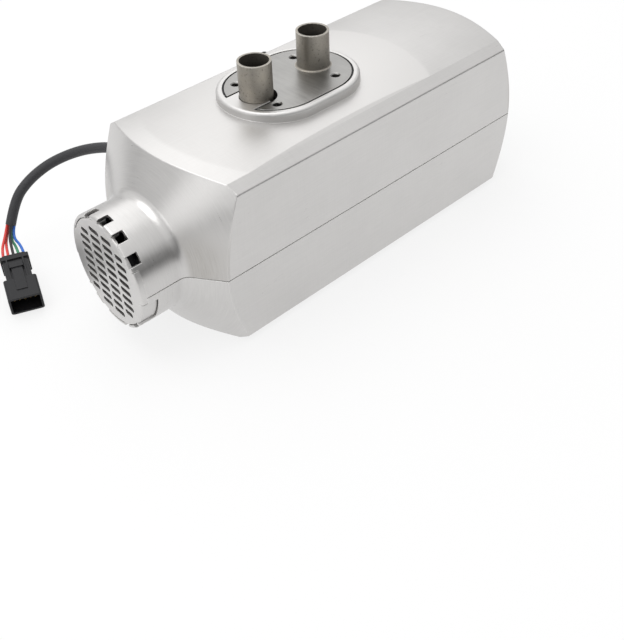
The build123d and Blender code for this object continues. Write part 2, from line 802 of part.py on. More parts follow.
def rounded_collar(inset):
    """A plain round collar with the mouth's rounded edge."""
    collar = (rod_x(front_x - 1, front_cone_x, collar_radius - inset) & mouth_slab(0, tab_depth + 1)).solid()
    return fillet(collar.edges().sort_by(Axis.X)[0], mouth_round - inset / 2)


def outlet_hood():
    inner = spigot_radius - outlet_ring_width
    rim_x = rear_x - outlet_rim
    hood = tube_x(rim_x, rear_x, collar_radius, inner)
    hood += tube_x(rim_x - outlet_spigot_length, rim_x + overlap, spigot_radius, inner)
    duct = rod_x(rim_x - outlet_spigot_length, rear_x, inner + overlap)
    pitch = 2 * inner / (outlet_blades + 1)
    for index in range(outlet_blades):
        z = axis_height - inner + (index + 1) * pitch
        blade = Pos((rim_x - outlet_spigot_length + rear_x) / 2, 0, z) * Rot(0, outlet_blade_angle, 0) * Box(
            outlet_blade_depth, 2 * inner, outlet_blade_thickness)
        hood += blade & duct
    bar_rear = rear_x - outlet_bar_gap
    hood += block(bar_rear - outlet_bar_depth, bar_rear, -outlet_bar_width / 2, outlet_bar_width / 2,
                  axis_height - inner - overlap, axis_height + inner + overlap)
    return hood


def flange_seal():
    """Rubber: an edge between plate and rim, and a web under the plate's edge and round the air stub."""
    outer = rim_inner_radius - seal_side_clearance
    seal = stadium(outer, ledge_top, plate_top - seal_recess)
    seal -= stadium(plate_end_radius + seal_side_clearance, plate_bottom, plate_top + 1)
    seal -= stadium(rim_inner_radius - seal_web_width, ledge_top - 1, plate_top + 1)
    reach = rim_inner_radius + plate_centres / 2
    seal -= block(plate_x - reach - 2, air_stub_x, air_stub_y - notch_half_width,
                  air_stub_y + notch_half_width, ledge_top - 1, plate_top + 1)
    return seal


# ---- heat exchanger ----
def mounting_plate():
    plate = stadium(plate_end_radius, plate_bottom, plate_top)
    notch = rod_z(plate_bottom - 1, plate_top + 1, notch_half_width, air_stub_x, air_stub_y)
    reach = plate_end_radius + plate_centres / 2
    notch += block(plate_x - reach - 2, air_stub_x, air_stub_y - notch_half_width,
                   air_stub_y + notch_half_width, plate_bottom - 1, plate_top + 1)
    return plate - notch


def exhaust_stub():
    """A tube let into the mounting plate, with a rounded weld round its foot."""
    weld = stub_root_fillet
    dip = weld * (1 - math.sqrt(0.5))
    outline = Polyline(
        (stub_radius, plate_top + weld),
        (stub_radius, stub_top),
        (stub_bore, stub_top),
        (stub_bore, plate_bottom),
        (stub_radius, plate_bottom),
        (stub_radius, plate_top - weld_seat),
        (stub_radius + weld, plate_top - weld_seat),
        (stub_radius + weld, plate_top),
    )
    outline += ThreePointArc((stub_radius + weld, plate_top), (stub_radius + dip, plate_top + dip),
                             (stub_radius, plate_top + weld))
    tube = revolve(Plane.XZ * make_face(outline), Axis.Z)
    return Pos(exhaust_stub_x, stub_side_step, 0) * tube


def exchanger_core():
    core = tube_x(exchanger_front_x, exchanger_rear_x - core_wall, core_radius, core_bore)
    core += rod_x(exchanger_rear_x - core_wall, exchanger_rear_x, core_radius)
    flange = tube_x(exchanger_front_x, exchanger_front_x + head_flange_thickness,
                    head_flange_radius, core_bore)
    return core + (flange & below_flat())


def below_flat():
    """Everything below the flat that the round flanges have under the elbow."""
    return block(front_x, rear_x, -half_width, half_width, 0, axis_height + head_flange_flat)


def exchanger_fins():
    fins = Part()
    pitch = 360 / fin_count
    for index in range(fin_count):
        angle = (index + 0.5) * pitch
        from_top = min(angle, 360 - angle)
        start = exchanger_front_x + fin_front_gap
        if from_top < fin_clear_half_angle:
            start = sensor_x + fin_clear_sensor_gap
        fin = block(start, exchanger_rear_x - fin_rear_gap, -fin_thickness / 2, fin_thickness / 2,
                    core_radius - overlap, fin_tip_radius)
        fins += Pos(0, 0, axis_height) * Rot(angle, 0, 0) * fin
    return fins


def heat_exchanger():
    body = exchanger_core() + exchanger_fins() + mounting_plate()
    body += rod_z(core_top - core_overlap, plate_bottom + overlap, riser_radius,
                  exhaust_stub_x, stub_side_step)
    inside_core = rod_x(exchanger_front_x, exchanger_rear_x, core_radius - overlap)
    for x, y in fixing_spots():
        if x > air_stub_x + notch_half_width:
            body += rod_z(axis_height, plate_bottom + overlap, column_radius, x, y) - inside_core
    body -= rod_z(plate_bottom, plate_top + 1, stub_radius, exhaust_stub_x, stub_side_step)
    body -= rod_z(plate_top - weld_seat, plate_top + 1, stub_radius + stub_root_fillet,
                  exhaust_stub_x, stub_side_step)
    body -= rod_z(core_top - 2 * core_wall, plate_top, stub_bore, exhaust_stub_x, stub_side_step)
    body -= fixing_holes()
    for spot in head_screw_spots():
        body -= rod_x(exchanger_front_x - 1, exchanger_front_x + head_flange_thickness + 1, screw_radius,
                      spot.Y, spot.Z)
    body -= rod_z(sensor_bottom, core_top + core_overlap, sensor_radius + sensor_pocket_clearance, sensor_x)
    body += spoke(core_bore, plug_seat_radius, plug_boss_radius) - inside_core
    body -= spoke(plug_tip_radius, plug_seat_radius + 1, plug_radius)
    return body


def fixing_spots():
    return [(flange_x + sx * hole_spacing_x / 2, sy * hole_spacing_y / 2) for sx in (-1, 1) for sy in (-1, 1)]


def spoke(inner, outer, radius):
    """A round rod in line with the glow plug, between two distances from the centreline."""
    middle = around_axis(plug_angle, (inner + outer) / 2, plug_x)
    return Pos(middle.X, middle.Y, middle.Z) * Rot(plug_angle, 0, 0) * Cylinder(radius, outer - inner)


def fixing_holes():
    holes = Part()
    for x, y in fixing_spots():
        holes += rod_z(plate_top - hole_depth, plate_top + 1, hole_radius, x, y)
        holes += Pos(x, y, plate_top - hole_countersink / 2) * Cone(
            hole_radius, hole_radius + hole_countersink, hole_countersink)
    return holes


def head_screw_spots():
    return [around_axis(angle, head_screw_circle) for angle in head_screw_angles]


# ---- burner ----
def head_outline(x0, x1, inner):
    """A slab of the round head flange, cut flat on top."""
    slab = tube_x(x0, x1, head_flange_radius, inner)
    slab &= below_flat()
    for spot in head_screw_spots():
        slab -= rod_x(x0 - 1, x1 + 1, screw_radius, spot.Y, spot.Z)
    return slab


def blower_screw_spots():
    return [around_axis(angle, blower_screw_circle) for angle in blower_screw_angles]


def passages(x0, x1):
    """The air passages between the blower and the burner head."""
    rods = Part()
    for index in range(passage_count):
        spot = around_axis(index * 360 / passage_count + passage_turn, passage_circle)
        rods += rod_x(x0, x1, passage_radius, spot.Y, spot.Z)
    return rods


def burner_head():
    head = head_outline(head_flange_x, head_rear_x, head_cavity_radius)
    head += rod_x(head_front_x, head_flange_x, head_hub_radius)
    for spot in blower_screw_spots():
        head += rod_x(head_front_x, head_flange_x, ear_radius, spot.Y, spot.Z)
        head -= rod_x(head_front_x - 1, head_flange_x - blower_screw_end_gap, blower_screw_radius,
                      spot.Y, spot.Z)
    head -= rod_x(head_rear_x - head_cavity_depth, head_rear_x + 1, head_cavity_radius)
    head -= passages(head_front_x - 1, head_rear_x)
    head -= rod_y(head_cavity_radius - overlap, head_hub_radius + overlap, fuel_radius,
                  fuel_inlet_x, axis_height)
    return head


def burner_gasket():
    return head_outline(head_rear_x, exchanger_front_x, core_bore)


def combustion_chamber():
    chamber = tube_x(head_rear_x, chamber_rear_x, chamber_radius, chamber_bore)
    pitch = 360 / chamber_holes_per_ring
    for ring in range(chamber_hole_rings):
        x = plug_x + chamber_hole_pitch * (ring + 1)
        for index in range(chamber_holes_per_ring // 2):
            turn = (index + 0.5 * (ring % 2)) * pitch
            drill = Cylinder(chamber_hole_radius, 2 * chamber_radius + 2)
            chamber -= Pos(x, 0, axis_height) * Rot(turn, 0, 0) * drill
    return chamber - spoke(plug_tip_radius, plug_seat_radius, plug_radius)


def mixing_screen():
    start = head_rear_x + screen_gap
    screen = rod_x(start, start + screen_thickness, chamber_bore)
    outer_circle = chamber_bore - screen_edge
    for circle, count in ((outer_circle / 2, screen_inner_holes), (outer_circle, screen_outer_holes)):
        for index in range(count):
            spot = around_axis(index * 360 / count, circle)
            screen -= rod_x(start - 1, start + screen_thickness + 1, screen_hole_radius, spot.Y, spot.Z)
    return screen


def flame_tube():
    tube = tube_x(chamber_rear_x, flame_tube_end_x, flame_tube_radius, flame_tube_radius - flame_tube_wall)
    return tube + tube_x(chamber_rear_x, chamber_rear_x + flame_tube_wall, chamber_radius,
                         flame_tube_radius - flame_tube_wall)


def glow_plug():
    plug = spoke(plug_tip_radius, plug_seat_radius, plug_radius)
    hex_end = plug_seat_radius + plug_hex_length
    middle = around_axis(plug_angle, plug_seat_radius, plug_x)
    outline = RegularPolygon(plug_hex_across / 2, 6, major_radius=False)
    plug += Pos(middle.X, middle.Y, middle.Z) * Rot(plug_angle, 0, 0) * extrude(outline, plug_hex_length)
    return plug + spoke(hex_end - overlap, hex_end + plug_cap_length, plug_cap_radius)


def head_screws():
    screws = Part()
    for spot in head_screw_spots():
        screws += cap_screw(head_flange_x, exchanger_front_x + head_flange_thickness, screw_radius,
                            screw_head_radius, spot)
    return screws


def cap_screw(seat_x, end_x, shank, head, spot):
    """A socket-head screw along X, with its head in front of the seat."""
    screw = rod_x(seat_x, end_x, shank, spot.Y, spot.Z)
    screw += rod_x(seat_x - screw_head_height, seat_x, head, spot.Y, spot.Z)
    socket = RegularPolygon(screw_socket_across / 2 * head / screw_head_radius, 6, major_radius=False)
    start = seat_x - screw_head_height
    return screw - Pos(start, spot.Y, spot.Z) * extrude(Plane.YZ * socket, screw_head_height / 2)


# ---- combustion air ----
def air_elbow():
    leg_end = head_front_x
    outside = rod_z(plate_top, stub_top, stub_radius, air_stub_x, air_stub_y)
    outside += rod_z(elbow_z, plate_top, elbow_riser_radius, air_stub_x, air_stub_y)
    outside += Pos(air_stub_x, air_stub_y, elbow_z) * Sphere(elbow_riser_radius)
    outside += rod_x(leg_end, air_stub_x, elbow_leg_radius, air_stub_y, elbow_z)
    outside += rod_x(leg_end - elbow_plug_length, leg_end, elbow_plug_radius, air_stub_y, elbow_z)
    bore = rod_z(elbow_z, stub_top + 1, stub_bore, air_stub_x, air_stub_y)
    bore += Pos(air_stub_x, air_stub_y, elbow_z) * Sphere(elbow_corner_bore)
    bore += rod_x(leg_end + 1, air_stub_x, elbow_leg_bore, air_stub_y, elbow_z)
    bore += rod_x(leg_end - elbow_plug_length - 1, leg_end + 2, elbow_plug_bore, air_stub_y, elbow_z)
    return outside - bore


def blower_housing():
    housing = rod_x(blower_front_x, head_front_x, blower_radius)
    housing += rod_z(axis_height + blower_radius / 2, elbow_z, port_neck_radius, port_x, air_stub_y)
    housing += rod_x(port_x - port_neck_radius, head_front_x, port_radius, air_stub_y, elbow_z)
    housing -= rod_x(blower_front_x - 1, cavity_rear_x, cavity_radius)
    housing -= passages(cavity_rear_x - 1, head_front_x + 1)
    housing -= rod_z(axis_height + cavity_radius / 2, elbow_z, port_neck_bore, port_x, air_stub_y)
    housing -= rod_x(port_x - port_neck_bore, head_front_x + 1, port_bore, air_stub_y, elbow_z)
    housing -= rod_x(head_front_x - elbow_plug_length, head_front_x + 1, elbow_plug_radius,
                     air_stub_y, elbow_z)
    for spot in blower_screw_spots():
        housing -= rod_x(blower_front_x - 1, head_front_x + 1, blower_screw_radius, spot.Y, spot.Z)
    return housing


def blower_gasket():
    gasket = tube_x(cover_rear_x, blower_front_x, blower_radius, cavity_radius)
    for spot in blower_screw_spots():
        gasket -= rod_x(cover_rear_x - 1, blower_front_x + 1, blower_screw_radius, spot.Y, spot.Z)
    return gasket


def blower_cover():
    cover = rod_x(cover_front_x, cover_rear_x, blower_radius)
    cover += block(cover_front_x, cover_rear_x, -control_pad_width / 2, control_pad_width / 2,
                   axis_height + blower_radius / 2, control_bottom)
    channel = tube_x(cover_rear_x - blower_channel_depth, cover_rear_x + 1,
                     impeller_radius, blower_channel_inner)
    channel -= wedge_x(cover_front_x, cover_rear_x + 2, 180 - blower_channel_stop, 180 + blower_channel_stop)
    cover -= channel
    cover -= rod_x(cover_front_x - 1, cover_front_x + bush_length, bush_radius)
    cover -= rod_x(cover_front_x, cover_rear_x + 1, shaft_radius + shaft_hole_clearance)
    for spot in blower_screw_spots():
        cover -= rod_x(cover_front_x - 1, cover_rear_x + 1, blower_screw_radius, spot.Y, spot.Z)
    return cover


def blower_screws():
    screws = Part()
    for spot in blower_screw_spots():
        screws += cap_screw(cover_front_x, head_flange_x - blower_screw_end_gap, blower_screw_radius,
                            blower_screw_head_radius, spot)
    return screws


# ---- motor ----
def motor_can():
    return tube_x(motor_front_x, cover_front_x, motor_radius, motor_radius - motor_wall)


def motor_end_cap():
    cap = rod_x(end_cap_x, motor_front_x, motor_radius)
    cap += block(end_cap_x, motor_front_x, -terminal_block_width / 2, terminal_block_width / 2,
                 axis_height + motor_radius / 2, terminal_block_top)
    cap -= rod_x(motor_front_x - bush_length, motor_front_x + 1, bush_radius)
    cap -= rod_x(end_cap_x - 1, motor_front_x, shaft_radius + shaft_hole_clearance)
    for angle in end_cap_vent_angles:
        spot = around_axis(angle, (motor_radius + bush_radius) / 2)
        cap -= rod_x(end_cap_x - 1, motor_front_x + 1, end_cap_vent_radius, spot.Y, spot.Z)
    return cap


def shaft_bushes():
    bore = shaft_radius + bush_clearance
    front = tube_x(motor_front_x - bush_length, motor_front_x, bush_radius, bore)
    return front + tube_x(cover_front_x, cover_front_x + bush_length, bush_radius, bore)


def field_magnets():
    ring = tube_x(motor_middle_x - armature_length / 2, motor_middle_x + armature_length / 2,
                  motor_radius - motor_wall, armature_radius + magnet_gap)
    magnets = Part()
    for middle in (90, 270):
        magnets += ring & wedge_x(motor_front_x, cover_front_x, middle - magnet_half_angle,
                                  middle + magnet_half_angle, motor_radius)
    return magnets


# ---- rotor ----
def rotor_shaft():
    return rod_x(fan_front_x + fan_nose_wall, impeller_rear_x, shaft_radius)


def armature():
    core = tube_x(motor_middle_x - armature_length / 2, motor_middle_x + armature_length / 2,
                  armature_radius, shaft_radius)
    slot = block(motor_middle_x - armature_length, motor_middle_x + armature_length,
                 -armature_slot_width / 2, armature_slot_width / 2, armature_core_radius, armature_radius + 1)
    for index in range(armature_slots):
        core -= Pos(0, 0, axis_height) * Rot(index * 360 / armature_slots, 0, 0) * slot
    return core


def fan_wheel():
    hub = rod_x(fan_front_x, fan_rear_x, fan_hub_radius)
    nose = hub.edges().filter_by(GeomType.CIRCLE).group_by(Axis.X)[0]
    wheel = fillet(nose, fan_nose_round)
    chord = fan_length / math.sin(math.radians(fan_blade_pitch))
    foot = fan_hub_radius - fan_blade_thickness
    blade = Pos(0, 0, (foot + fan_radius + 1) / 2) * Rot(0, 0, 90 - fan_blade_pitch) * Box(
        chord, fan_blade_thickness, fan_radius + 1 - foot)
    blade = Pos((fan_front_x + fan_rear_x) / 2, 0, axis_height) * blade
    room = rod_x(fan_front_x + fan_blade_inset, fan_rear_x - fan_blade_inset, fan_radius)
    for index in range(fan_blades):
        wheel += blade.rotate(Axis((0, 0, axis_height), (1, 0, 0)), index * 360 / fan_blades) & room
    return wheel - rod_x(fan_front_x + fan_nose_wall, fan_rear_x + 1, shaft_radius)


def blower_impeller():
    wheel = rod_x(impeller_rear_x - impeller_web, impeller_rear_x, impeller_radius)
    wheel += rod_x(impeller_front_x, impeller_rear_x, impeller_hub_radius)
    blade = block(impeller_front_x, impeller_rear_x - impeller_web / 2, -impeller_blade_thickness / 2,
                  impeller_blade_thickness / 2, blower_channel_inner, impeller_radius - overlap)
    for index in range(impeller_blades):
        wheel += Pos(0, 0, axis_height) * Rot(index * 360 / impeller_blades, 0, 0) * blade
    return wheel - rod_x(impeller_front_x - 1, impeller_rear_x + 1, shaft_radius)


def speed_magnet():
    return rod_x(fan_rear_x, fan_rear_x + speed_magnet_thickness, speed_magnet_radius, 0,
                 axis_height + speed_magnet_circle)


# ---- control unit ----
def control_corners(inset):
    half = control_length / 2 - inset
    side = control_width / 2 - inset
    return [(control_x + sx * half, sy * side) for sx in (-1, 1) for sy in (-1, 1)]


def control_case():
    side = control_width / 2
    lid_bottom = control_top - control_lid_thickness
    case = block(control_front_x, control_rear_x, -side, side, control_bottom, lid_bottom)
    case -= block(control_front_x + control_wall, control_rear_x - control_wall, -side + control_wall,
                  side - control_wall, control_bottom + control_wall, lid_bottom + 1)
    for x, y in control_corners(control_post_inset):
        case += rod_z(control_bottom + 1, lid_bottom, control_post_radius, x, y)
    case &= block(control_front_x, control_rear_x, -side, side, control_bottom, lid_bottom)
    for x, y in control_corners(control_post_inset):
        case -= rod_z(control_top - control_screw_length, control_top, control_screw_radius, x, y)
    for x, y in control_corners(board_post_inset):
        case += rod_z(control_bottom + 1, control_bottom + control_wall + board_height,
                      board_post_radius, x, y)
    return case


def control_lid():
    side = control_width / 2
    lid = block(control_front_x, control_rear_x, -side, side,
                control_top - control_lid_thickness, control_top)
    for x, y in control_corners(control_post_inset):
        lid -= rod_z(control_bottom, control_top + 1, control_screw_radius, x, y)
    return lid


def control_screws():
    screws = Part()
    for x, y in control_corners(control_post_inset):
        screws += rod_z(control_top - control_screw_length, control_top, control_screw_radius, x, y)
        screws += rod_z(control_top, control_top + control_screw_head_height, control_screw_head_radius, x, y)
    return screws


def control_board():
    bottom = control_bottom + control_wall + board_height
    top = bottom + board_thickness
    half = control_length / 2 - control_wall - board_margin
    side = control_width / 2 - 2 * control_post_radius - board_side_gap
    board = block(control_x - half, control_x + half, -side, side, bottom, top)
    for y in relay_places:
        relay = Box(relay_length, relay_width, relay_height + overlap)
        board += Pos(control_x + relay_x, y, top + (relay_height - overlap) / 2) * relay
    for index in range(chip_count):
        y = (index - (chip_count - 1) / 2) * chip_pitch
        chip = Box(chip_length, chip_width, chip_height + overlap)
        board += Pos(control_x + chip_x, y, top + (chip_height - overlap) / 2) * chip
    return board


def control_dampers():
    pads = Part()
    for x, y in control_corners(damper_inset):
        pads += rod_z(control_top, control_top + damper_height, damper_radius, x, y)
    return pads


# ---- fuel line and sensor ----
def fuel_tube():
    upright = fuel_side - fuel_upright_inset
    route = [
        (fuel_inlet_x, head_cavity_radius + fuel_inlet_gap, axis_height),
        (fuel_inlet_x, fuel_side, axis_height),
        (fuel_exit_x - fuel_turn, fuel_side, axis_height + fuel_long_rise),
        (fuel_exit_x, upright, axis_height + fuel_upright_foot),
        (fuel_exit_x, upright, fuel_exit_height),
        (fuel_exit_x, half_width + fuel_bend_reach, fuel_exit_height),
        (fuel_exit_x, half_width + fuel_end_reach, fuel_exit_height - fuel_end_drop),
    ]
    outside, length = swept_tube(route, 2 * fuel_radius, fuel_bend)
    bore, length = swept_tube(route, 2 * fuel_bore, fuel_bend)
    return outside - bore


def fuel_grommet():
    grommet = rod_y(half_width, half_width + fuel_grommet_lip, fuel_grommet_radius,
                    fuel_exit_x, fuel_exit_height)
    rim = grommet.edges().filter_by(GeomType.CIRCLE).group_by(Axis.Y)[-1]
    grommet = fillet(rim, fuel_grommet_round)
    grommet += rod_y(half_width - wall, half_width, fuel_grommet_neck, fuel_exit_x, fuel_exit_height)
    return grommet - rod_y(half_width - 2 * wall, half_width + 2 * fuel_grommet_lip, fuel_radius,
                           fuel_exit_x, fuel_exit_height)


def overheat_sensor():
    sensor = rod_z(sensor_bottom, sensor_top, sensor_radius, sensor_x)
    return sensor + rod_y(-sensor_radius - sensor_stub_length, -sensor_radius + 1, sensor_stub_radius,
                          sensor_x, sensor_bottom + sensor_stub_rise)


def sensor_strap():
    half = sensor_strap_width / 2
    top = sensor_top + sensor_strap_thickness
    strap = block(sensor_x - sensor_strap_reach, sensor_x + sensor_strap_reach, -half, half, sensor_top, top)
    for side in (-1, 1):
        outer = sensor_x + side * sensor_strap_reach
        inner = outer - side * sensor_strap_thickness
        strap += block(min(outer, inner), max(outer, inner), -half, half, core_top - core_overlap, top)
    return strap - rod_x(sensor_x - 2 * sensor_strap_reach, sensor_x + 2 * sensor_strap_reach, core_radius)


# ---- leads inside the casing ----
def lead(name, route):
    """An insulated lead; its bend radii and length are printed."""
    return cord(name, route, lead_diameter)


def cord(name, route, diameter):
    radii = bend_radii(route)
    tube, length = swept_tube(route, diameter, radii)
    section = math.pi * diameter ** 2 / 4
    print(name, "length", round(length, 1), "radii", [round(r, 1) for r in radii],
          "volume over section times length", round(tube.volume / (section * length), 4))
    return tube


def loom_lead():
    side = control_width / 2 - lead_inset
    return lead("loom_lead", [
        (gland_x, side, control_bottom),
        (gland_x, side, gland_z),
        (gland_x, half_width - wall - gland_inner_length, gland_z),
    ])


def motor_lead():
    x = end_cap_x + end_cap_length / 2
    z = terminal_block_top + control_front_x - x
    return lead("motor_lead", [(control_front_x, 0, z), (x, 0, z), (x, 0, terminal_block_top)])


def glow_lead():
    route = [(plug_x + along, inwards - half_width, axis_height + up)
             for along, inwards, up in glow_lead_steps]
    start = (route[0][0], route[0][1], control_bottom)
    cap = plug_seat_radius + plug_hex_length + plug_cap_length
    turn = around_axis(plug_angle, cap + glow_lead_end, plug_x)
    end = around_axis(plug_angle, cap, plug_x)
    return lead("glow_lead", [start] + route + [tuple(turn), tuple(end)])


def sensor_lead():
    route = [tuple(around_axis(angle, core_radius + out, sensor_x + along))
             for along, angle, out in sensor_lead_steps]
    start = (control_rear_x, route[0][1], route[0][2])
    height = sensor_bottom + sensor_stub_rise
    side = (height - axis_height) * math.tan(math.radians(sensor_lead_slant))
    turn = (sensor_x, -side, height)
    end = (sensor_x, -sensor_radius - sensor_stub_length, height)
    return lead("sensor_lead", [start] + route + [turn, end])


# ---- loom outside the casing ----
def cable_gland():
    face = half_width
    inside = face - wall
    gland = rod_y(face, face + gland_flange_thickness, gland_radius, gland_x, gland_z)
    nose = Cone(gland_radius - gland_groove, gland_nose_radius, gland_length - gland_flange_thickness)
    nose_middle = face + (gland_flange_thickness + gland_length) / 2
    gland += Pos(gland_x, nose_middle, gland_z) * Rot(-90, 0, 0) * nose
    gland += rod_y(inside, face, gland_radius - gland_groove, gland_x, gland_z)
    gland += rod_y(inside - gland_flange_thickness, inside, gland_radius, gland_x, gland_z)
    gland += rod_y(inside - gland_inner_length, inside, gland_nose_radius, gland_x, gland_z)
    return gland


def loom_sleeve():
    return cord("loom_sleeve", sleeve_route, sleeve_diameter)


def loom_point(step):
    """A point of the loom outside the casing, measured from the gland."""
    along, out, height = step
    return Vector(gland_x + along, half_width + out, height)


def connector_plane():
    """At the middle of the connector's rear face; Z runs to its open front, X along the wire row."""
    rear = loom_point(connector_rear_step)
    along = (loom_point(connector_front_step) - rear).normalized()
    across = Vector(0, 0, 1).cross(along).normalized()
    return Plane(origin=rear, x_dir=across, z_dir=along)


def wire(name, column, angle):
    """A wire from its place in the sleeve's end to its column of the connector's row.

    All wires turn in one mitre plane, so that they stay apart through the turn.
    """
    plane = connector_plane()
    sleeve_end = Vector(*sleeve_route[-1])
    along = (sleeve_end - Vector(*sleeve_route[-2])).normalized()
    across = (plane.x_dir - along * plane.x_dir.dot(along)).normalized()
    turn = math.radians(angle)
    offset = (across * math.cos(turn) + along.cross(across) * math.sin(turn)) * wire_circle
    middle_corner = sleeve_end + along * wire_straight_start
    middle_end = plane.origin - plane.z_dir * wire_straight_end
    mitre = along + (middle_end - middle_corner).normalized()
    straight = wire_straight_start - mitre.dot(offset) / mitre.dot(along)
    start = sleeve_end + offset
    end = plane.origin + plane.x_dir * column * wire_row_pitch
    route = [start, start + along * straight, end - plane.z_dir * wire_straight_end, end]
    return cord(name, [tuple(point) for point in route], wire_diameter)


def connector_box(width, height, z0, z1):
    return Pos(0, 0, (z0 + z1) / 2) * Box(width, height, z1 - z0)


def connector_length():
    return (loom_point(connector_front_step) - loom_point(connector_rear_step)).length


def connector_body():
    length = connector_length()
    skirt_start = length - connector_skirt_length
    body = connector_box(connector_width, connector_height, connector_seal_length, length)
    body = fillet(body.edges().filter_by(Axis.Z), connector_edge_round)
    skirt = connector_box(connector_skirt_width, connector_skirt_height, skirt_start, length)
    skirt = fillet(skirt.edges().filter_by(Axis.Z), 2 * connector_edge_round)
    body += skirt
    collar_end = connector_seal_length + connector_collar_length
    ribbed_height = connector_height + 2 * connector_rib
    collar = connector_box(connector_width + 2 * connector_rib, ribbed_height,
                           connector_seal_length, collar_end)
    body += fillet(collar.edges().filter_by(Axis.Z), connector_edge_round)
    for x in (-connector_rib_place, connector_rib_place):
        body += Pos(x, 0, 0) * connector_box(connector_rib, ribbed_height, collar_end, skirt_start)
    top = connector_height / 2
    body += block(-latch_width / 2, latch_width / 2, top - overlap, top + latch_height,
                  latch_start, length - latch_end_gap)
    body += block(-latch_grip_width / 2, latch_grip_width / 2, top - overlap,
                  top + latch_height + latch_grip_rise, latch_start, latch_start + latch_grip_length)
    cavity = connector_box(connector_skirt_width - 2 * connector_cavity_wall,
                           connector_skirt_height - 2 * connector_cavity_wall,
                           length - connector_cavity_depth, length + 1)
    return connector_plane() * (body - cavity)


def connector_seal():
    seal = connector_box(connector_width - 2 * connector_seal_inset,
                         connector_height - 2 * connector_seal_inset, 0, connector_seal_length)
    return connector_plane() * fillet(seal.edges().filter_by(Axis.Z), connector_edge_round)


def connector_terminals():
    blades = Part()
    start = connector_length() - connector_cavity_depth
    for column in range(-2, 3):
        for row in (-1, 1):
            blade = Box(terminal_width, terminal_thickness, terminal_length)
            place = Pos(column * wire_row_pitch, row * terminal_row_height, start + terminal_length / 2)
            blades += place * blade
    return connector_plane() * blades


parts = {}
parts["flange_side_shell"] = flange_side_shell()
parts["cover_shell"] = cover_shell()
parts["intake_grille"] = intake_grille()
parts["outlet_hood"] = outlet_hood()
parts["flange_seal"] = flange_seal()
parts["heat_exchanger"] = heat_exchanger()
parts["exhaust_stub"] = exhaust_stub()
parts["burner_head"] = burner_head()
parts["burner_gasket"] = burner_gasket()
parts["combustion_chamber"] = combustion_chamber()
parts["mixing_screen"] = mixing_screen()
parts["flame_tube"] = flame_tube()
parts["glow_plug"] = glow_plug()
parts["head_screws"] = head_screws()
parts["air_elbow"] = air_elbow()
parts["blower_housing"] = blower_housing()
parts["blower_gasket"] = blower_gasket()
parts["blower_cover"] = blower_cover()
parts["blower_screws"] = blower_screws()
parts["motor_can"] = motor_can()
parts["motor_end_cap"] = motor_end_cap()
parts["shaft_bushes"] = shaft_bushes()
parts["field_magnets"] = field_magnets()
parts["rotor_shaft"] = rotor_shaft()
parts["armature"] = armature()
parts["fan_wheel"] = fan_wheel()
parts["blower_impeller"] = blower_impeller()
parts["speed_magnet"] = speed_magnet()
parts["control_case"] = control_case()
parts["control_lid"] = control_lid()
parts["control_screws"] = control_screws()
parts["control_board"] = control_board()
parts["control_dampers"] = control_dampers()
parts["fuel_tube"] = fuel_tube()
parts["fuel_grommet"] = fuel_grommet()
parts["overheat_sensor"] = overheat_sensor()
parts["sensor_strap"] = sensor_strap()
parts["loom_lead"] = loom_lead()
parts["motor_lead"] = motor_lead()
parts["glow_lead"] = glow_lead()
parts["sensor_lead"] = sensor_lead()
parts["cable_gland"] = cable_gland()
parts["loom_sleeve"] = loom_sleeve()
parts["wire_red_outer"] = wire("wire_red_outer", -2, 162)
parts["wire_red_inner"] = wire("wire_red_inner", -1, 234)
parts["wire_black"] = wire("wire_black", 0, 90)
parts["wire_green"] = wire("wire_green", 1, 306)
parts["wire_blue"] = wire("wire_blue", 2, 18)
parts["connector_body"] = connector_body()
parts["connector_seal"] = connector_seal()
parts["connector_terminals"] = connector_terminals()

os.makedirs("parts", exist_ok=True)
for name, shape in parts.items():
    export_step(shape, f"parts/{name}.step")
    print(name, len(shape.solids()), round(shape.volume))
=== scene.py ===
"""A diesel air heater: its finishes, its free loom, the floor, the lamps and the camera.

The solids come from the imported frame. Every length is in metres, in the frame's own axes: +X runs with the
warm air, +Z points out of the mounting flange, and the origin lies in the middle of the resting face.
"""

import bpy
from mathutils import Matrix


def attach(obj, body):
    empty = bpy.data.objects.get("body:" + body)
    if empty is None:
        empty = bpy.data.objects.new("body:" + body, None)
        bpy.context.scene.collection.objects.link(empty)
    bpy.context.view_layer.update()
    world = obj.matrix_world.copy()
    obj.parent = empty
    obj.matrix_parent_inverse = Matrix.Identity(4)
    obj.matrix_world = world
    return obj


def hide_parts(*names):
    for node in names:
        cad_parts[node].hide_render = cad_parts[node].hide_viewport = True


bl_info = {
    "name": "Diesel air heater",
    "version": (1, 0, 0),
    "blender": (4, 5, 0),
    "location": "3D View > Sidebar > Heater",
    "description": "Finishes, wiring loom, floor, lamps and camera for a diesel air heater",
    "category": "Object",
}

import bpy
from mathutils import Matrix, Vector

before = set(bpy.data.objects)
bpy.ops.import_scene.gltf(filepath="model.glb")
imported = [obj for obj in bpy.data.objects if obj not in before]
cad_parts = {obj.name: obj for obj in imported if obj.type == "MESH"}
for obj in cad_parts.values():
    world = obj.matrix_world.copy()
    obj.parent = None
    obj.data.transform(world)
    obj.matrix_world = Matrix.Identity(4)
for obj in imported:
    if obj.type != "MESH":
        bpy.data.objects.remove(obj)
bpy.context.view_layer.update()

# ---- where the solids lie ----
AXIS_HEIGHT = 0.0613             # of the air path's centreline, where the shells meet
FRONT_NECK_X = -0.1567           # where the front cone would meet its collar
REAR_NECK_X = 0.1794             # where the rear cone would meet its collar
COLLAR_RADIUS = 0.0422
CONE_SLOPE = 0.639               # length along X for each metre that a cone widens
TOP_HALF_WIDTH = 0.0591          # of the arched top, between the bevels
TOP_LOWEST = 0.118               # below every point of that top
PAD_MIDDLE_X = -0.0190
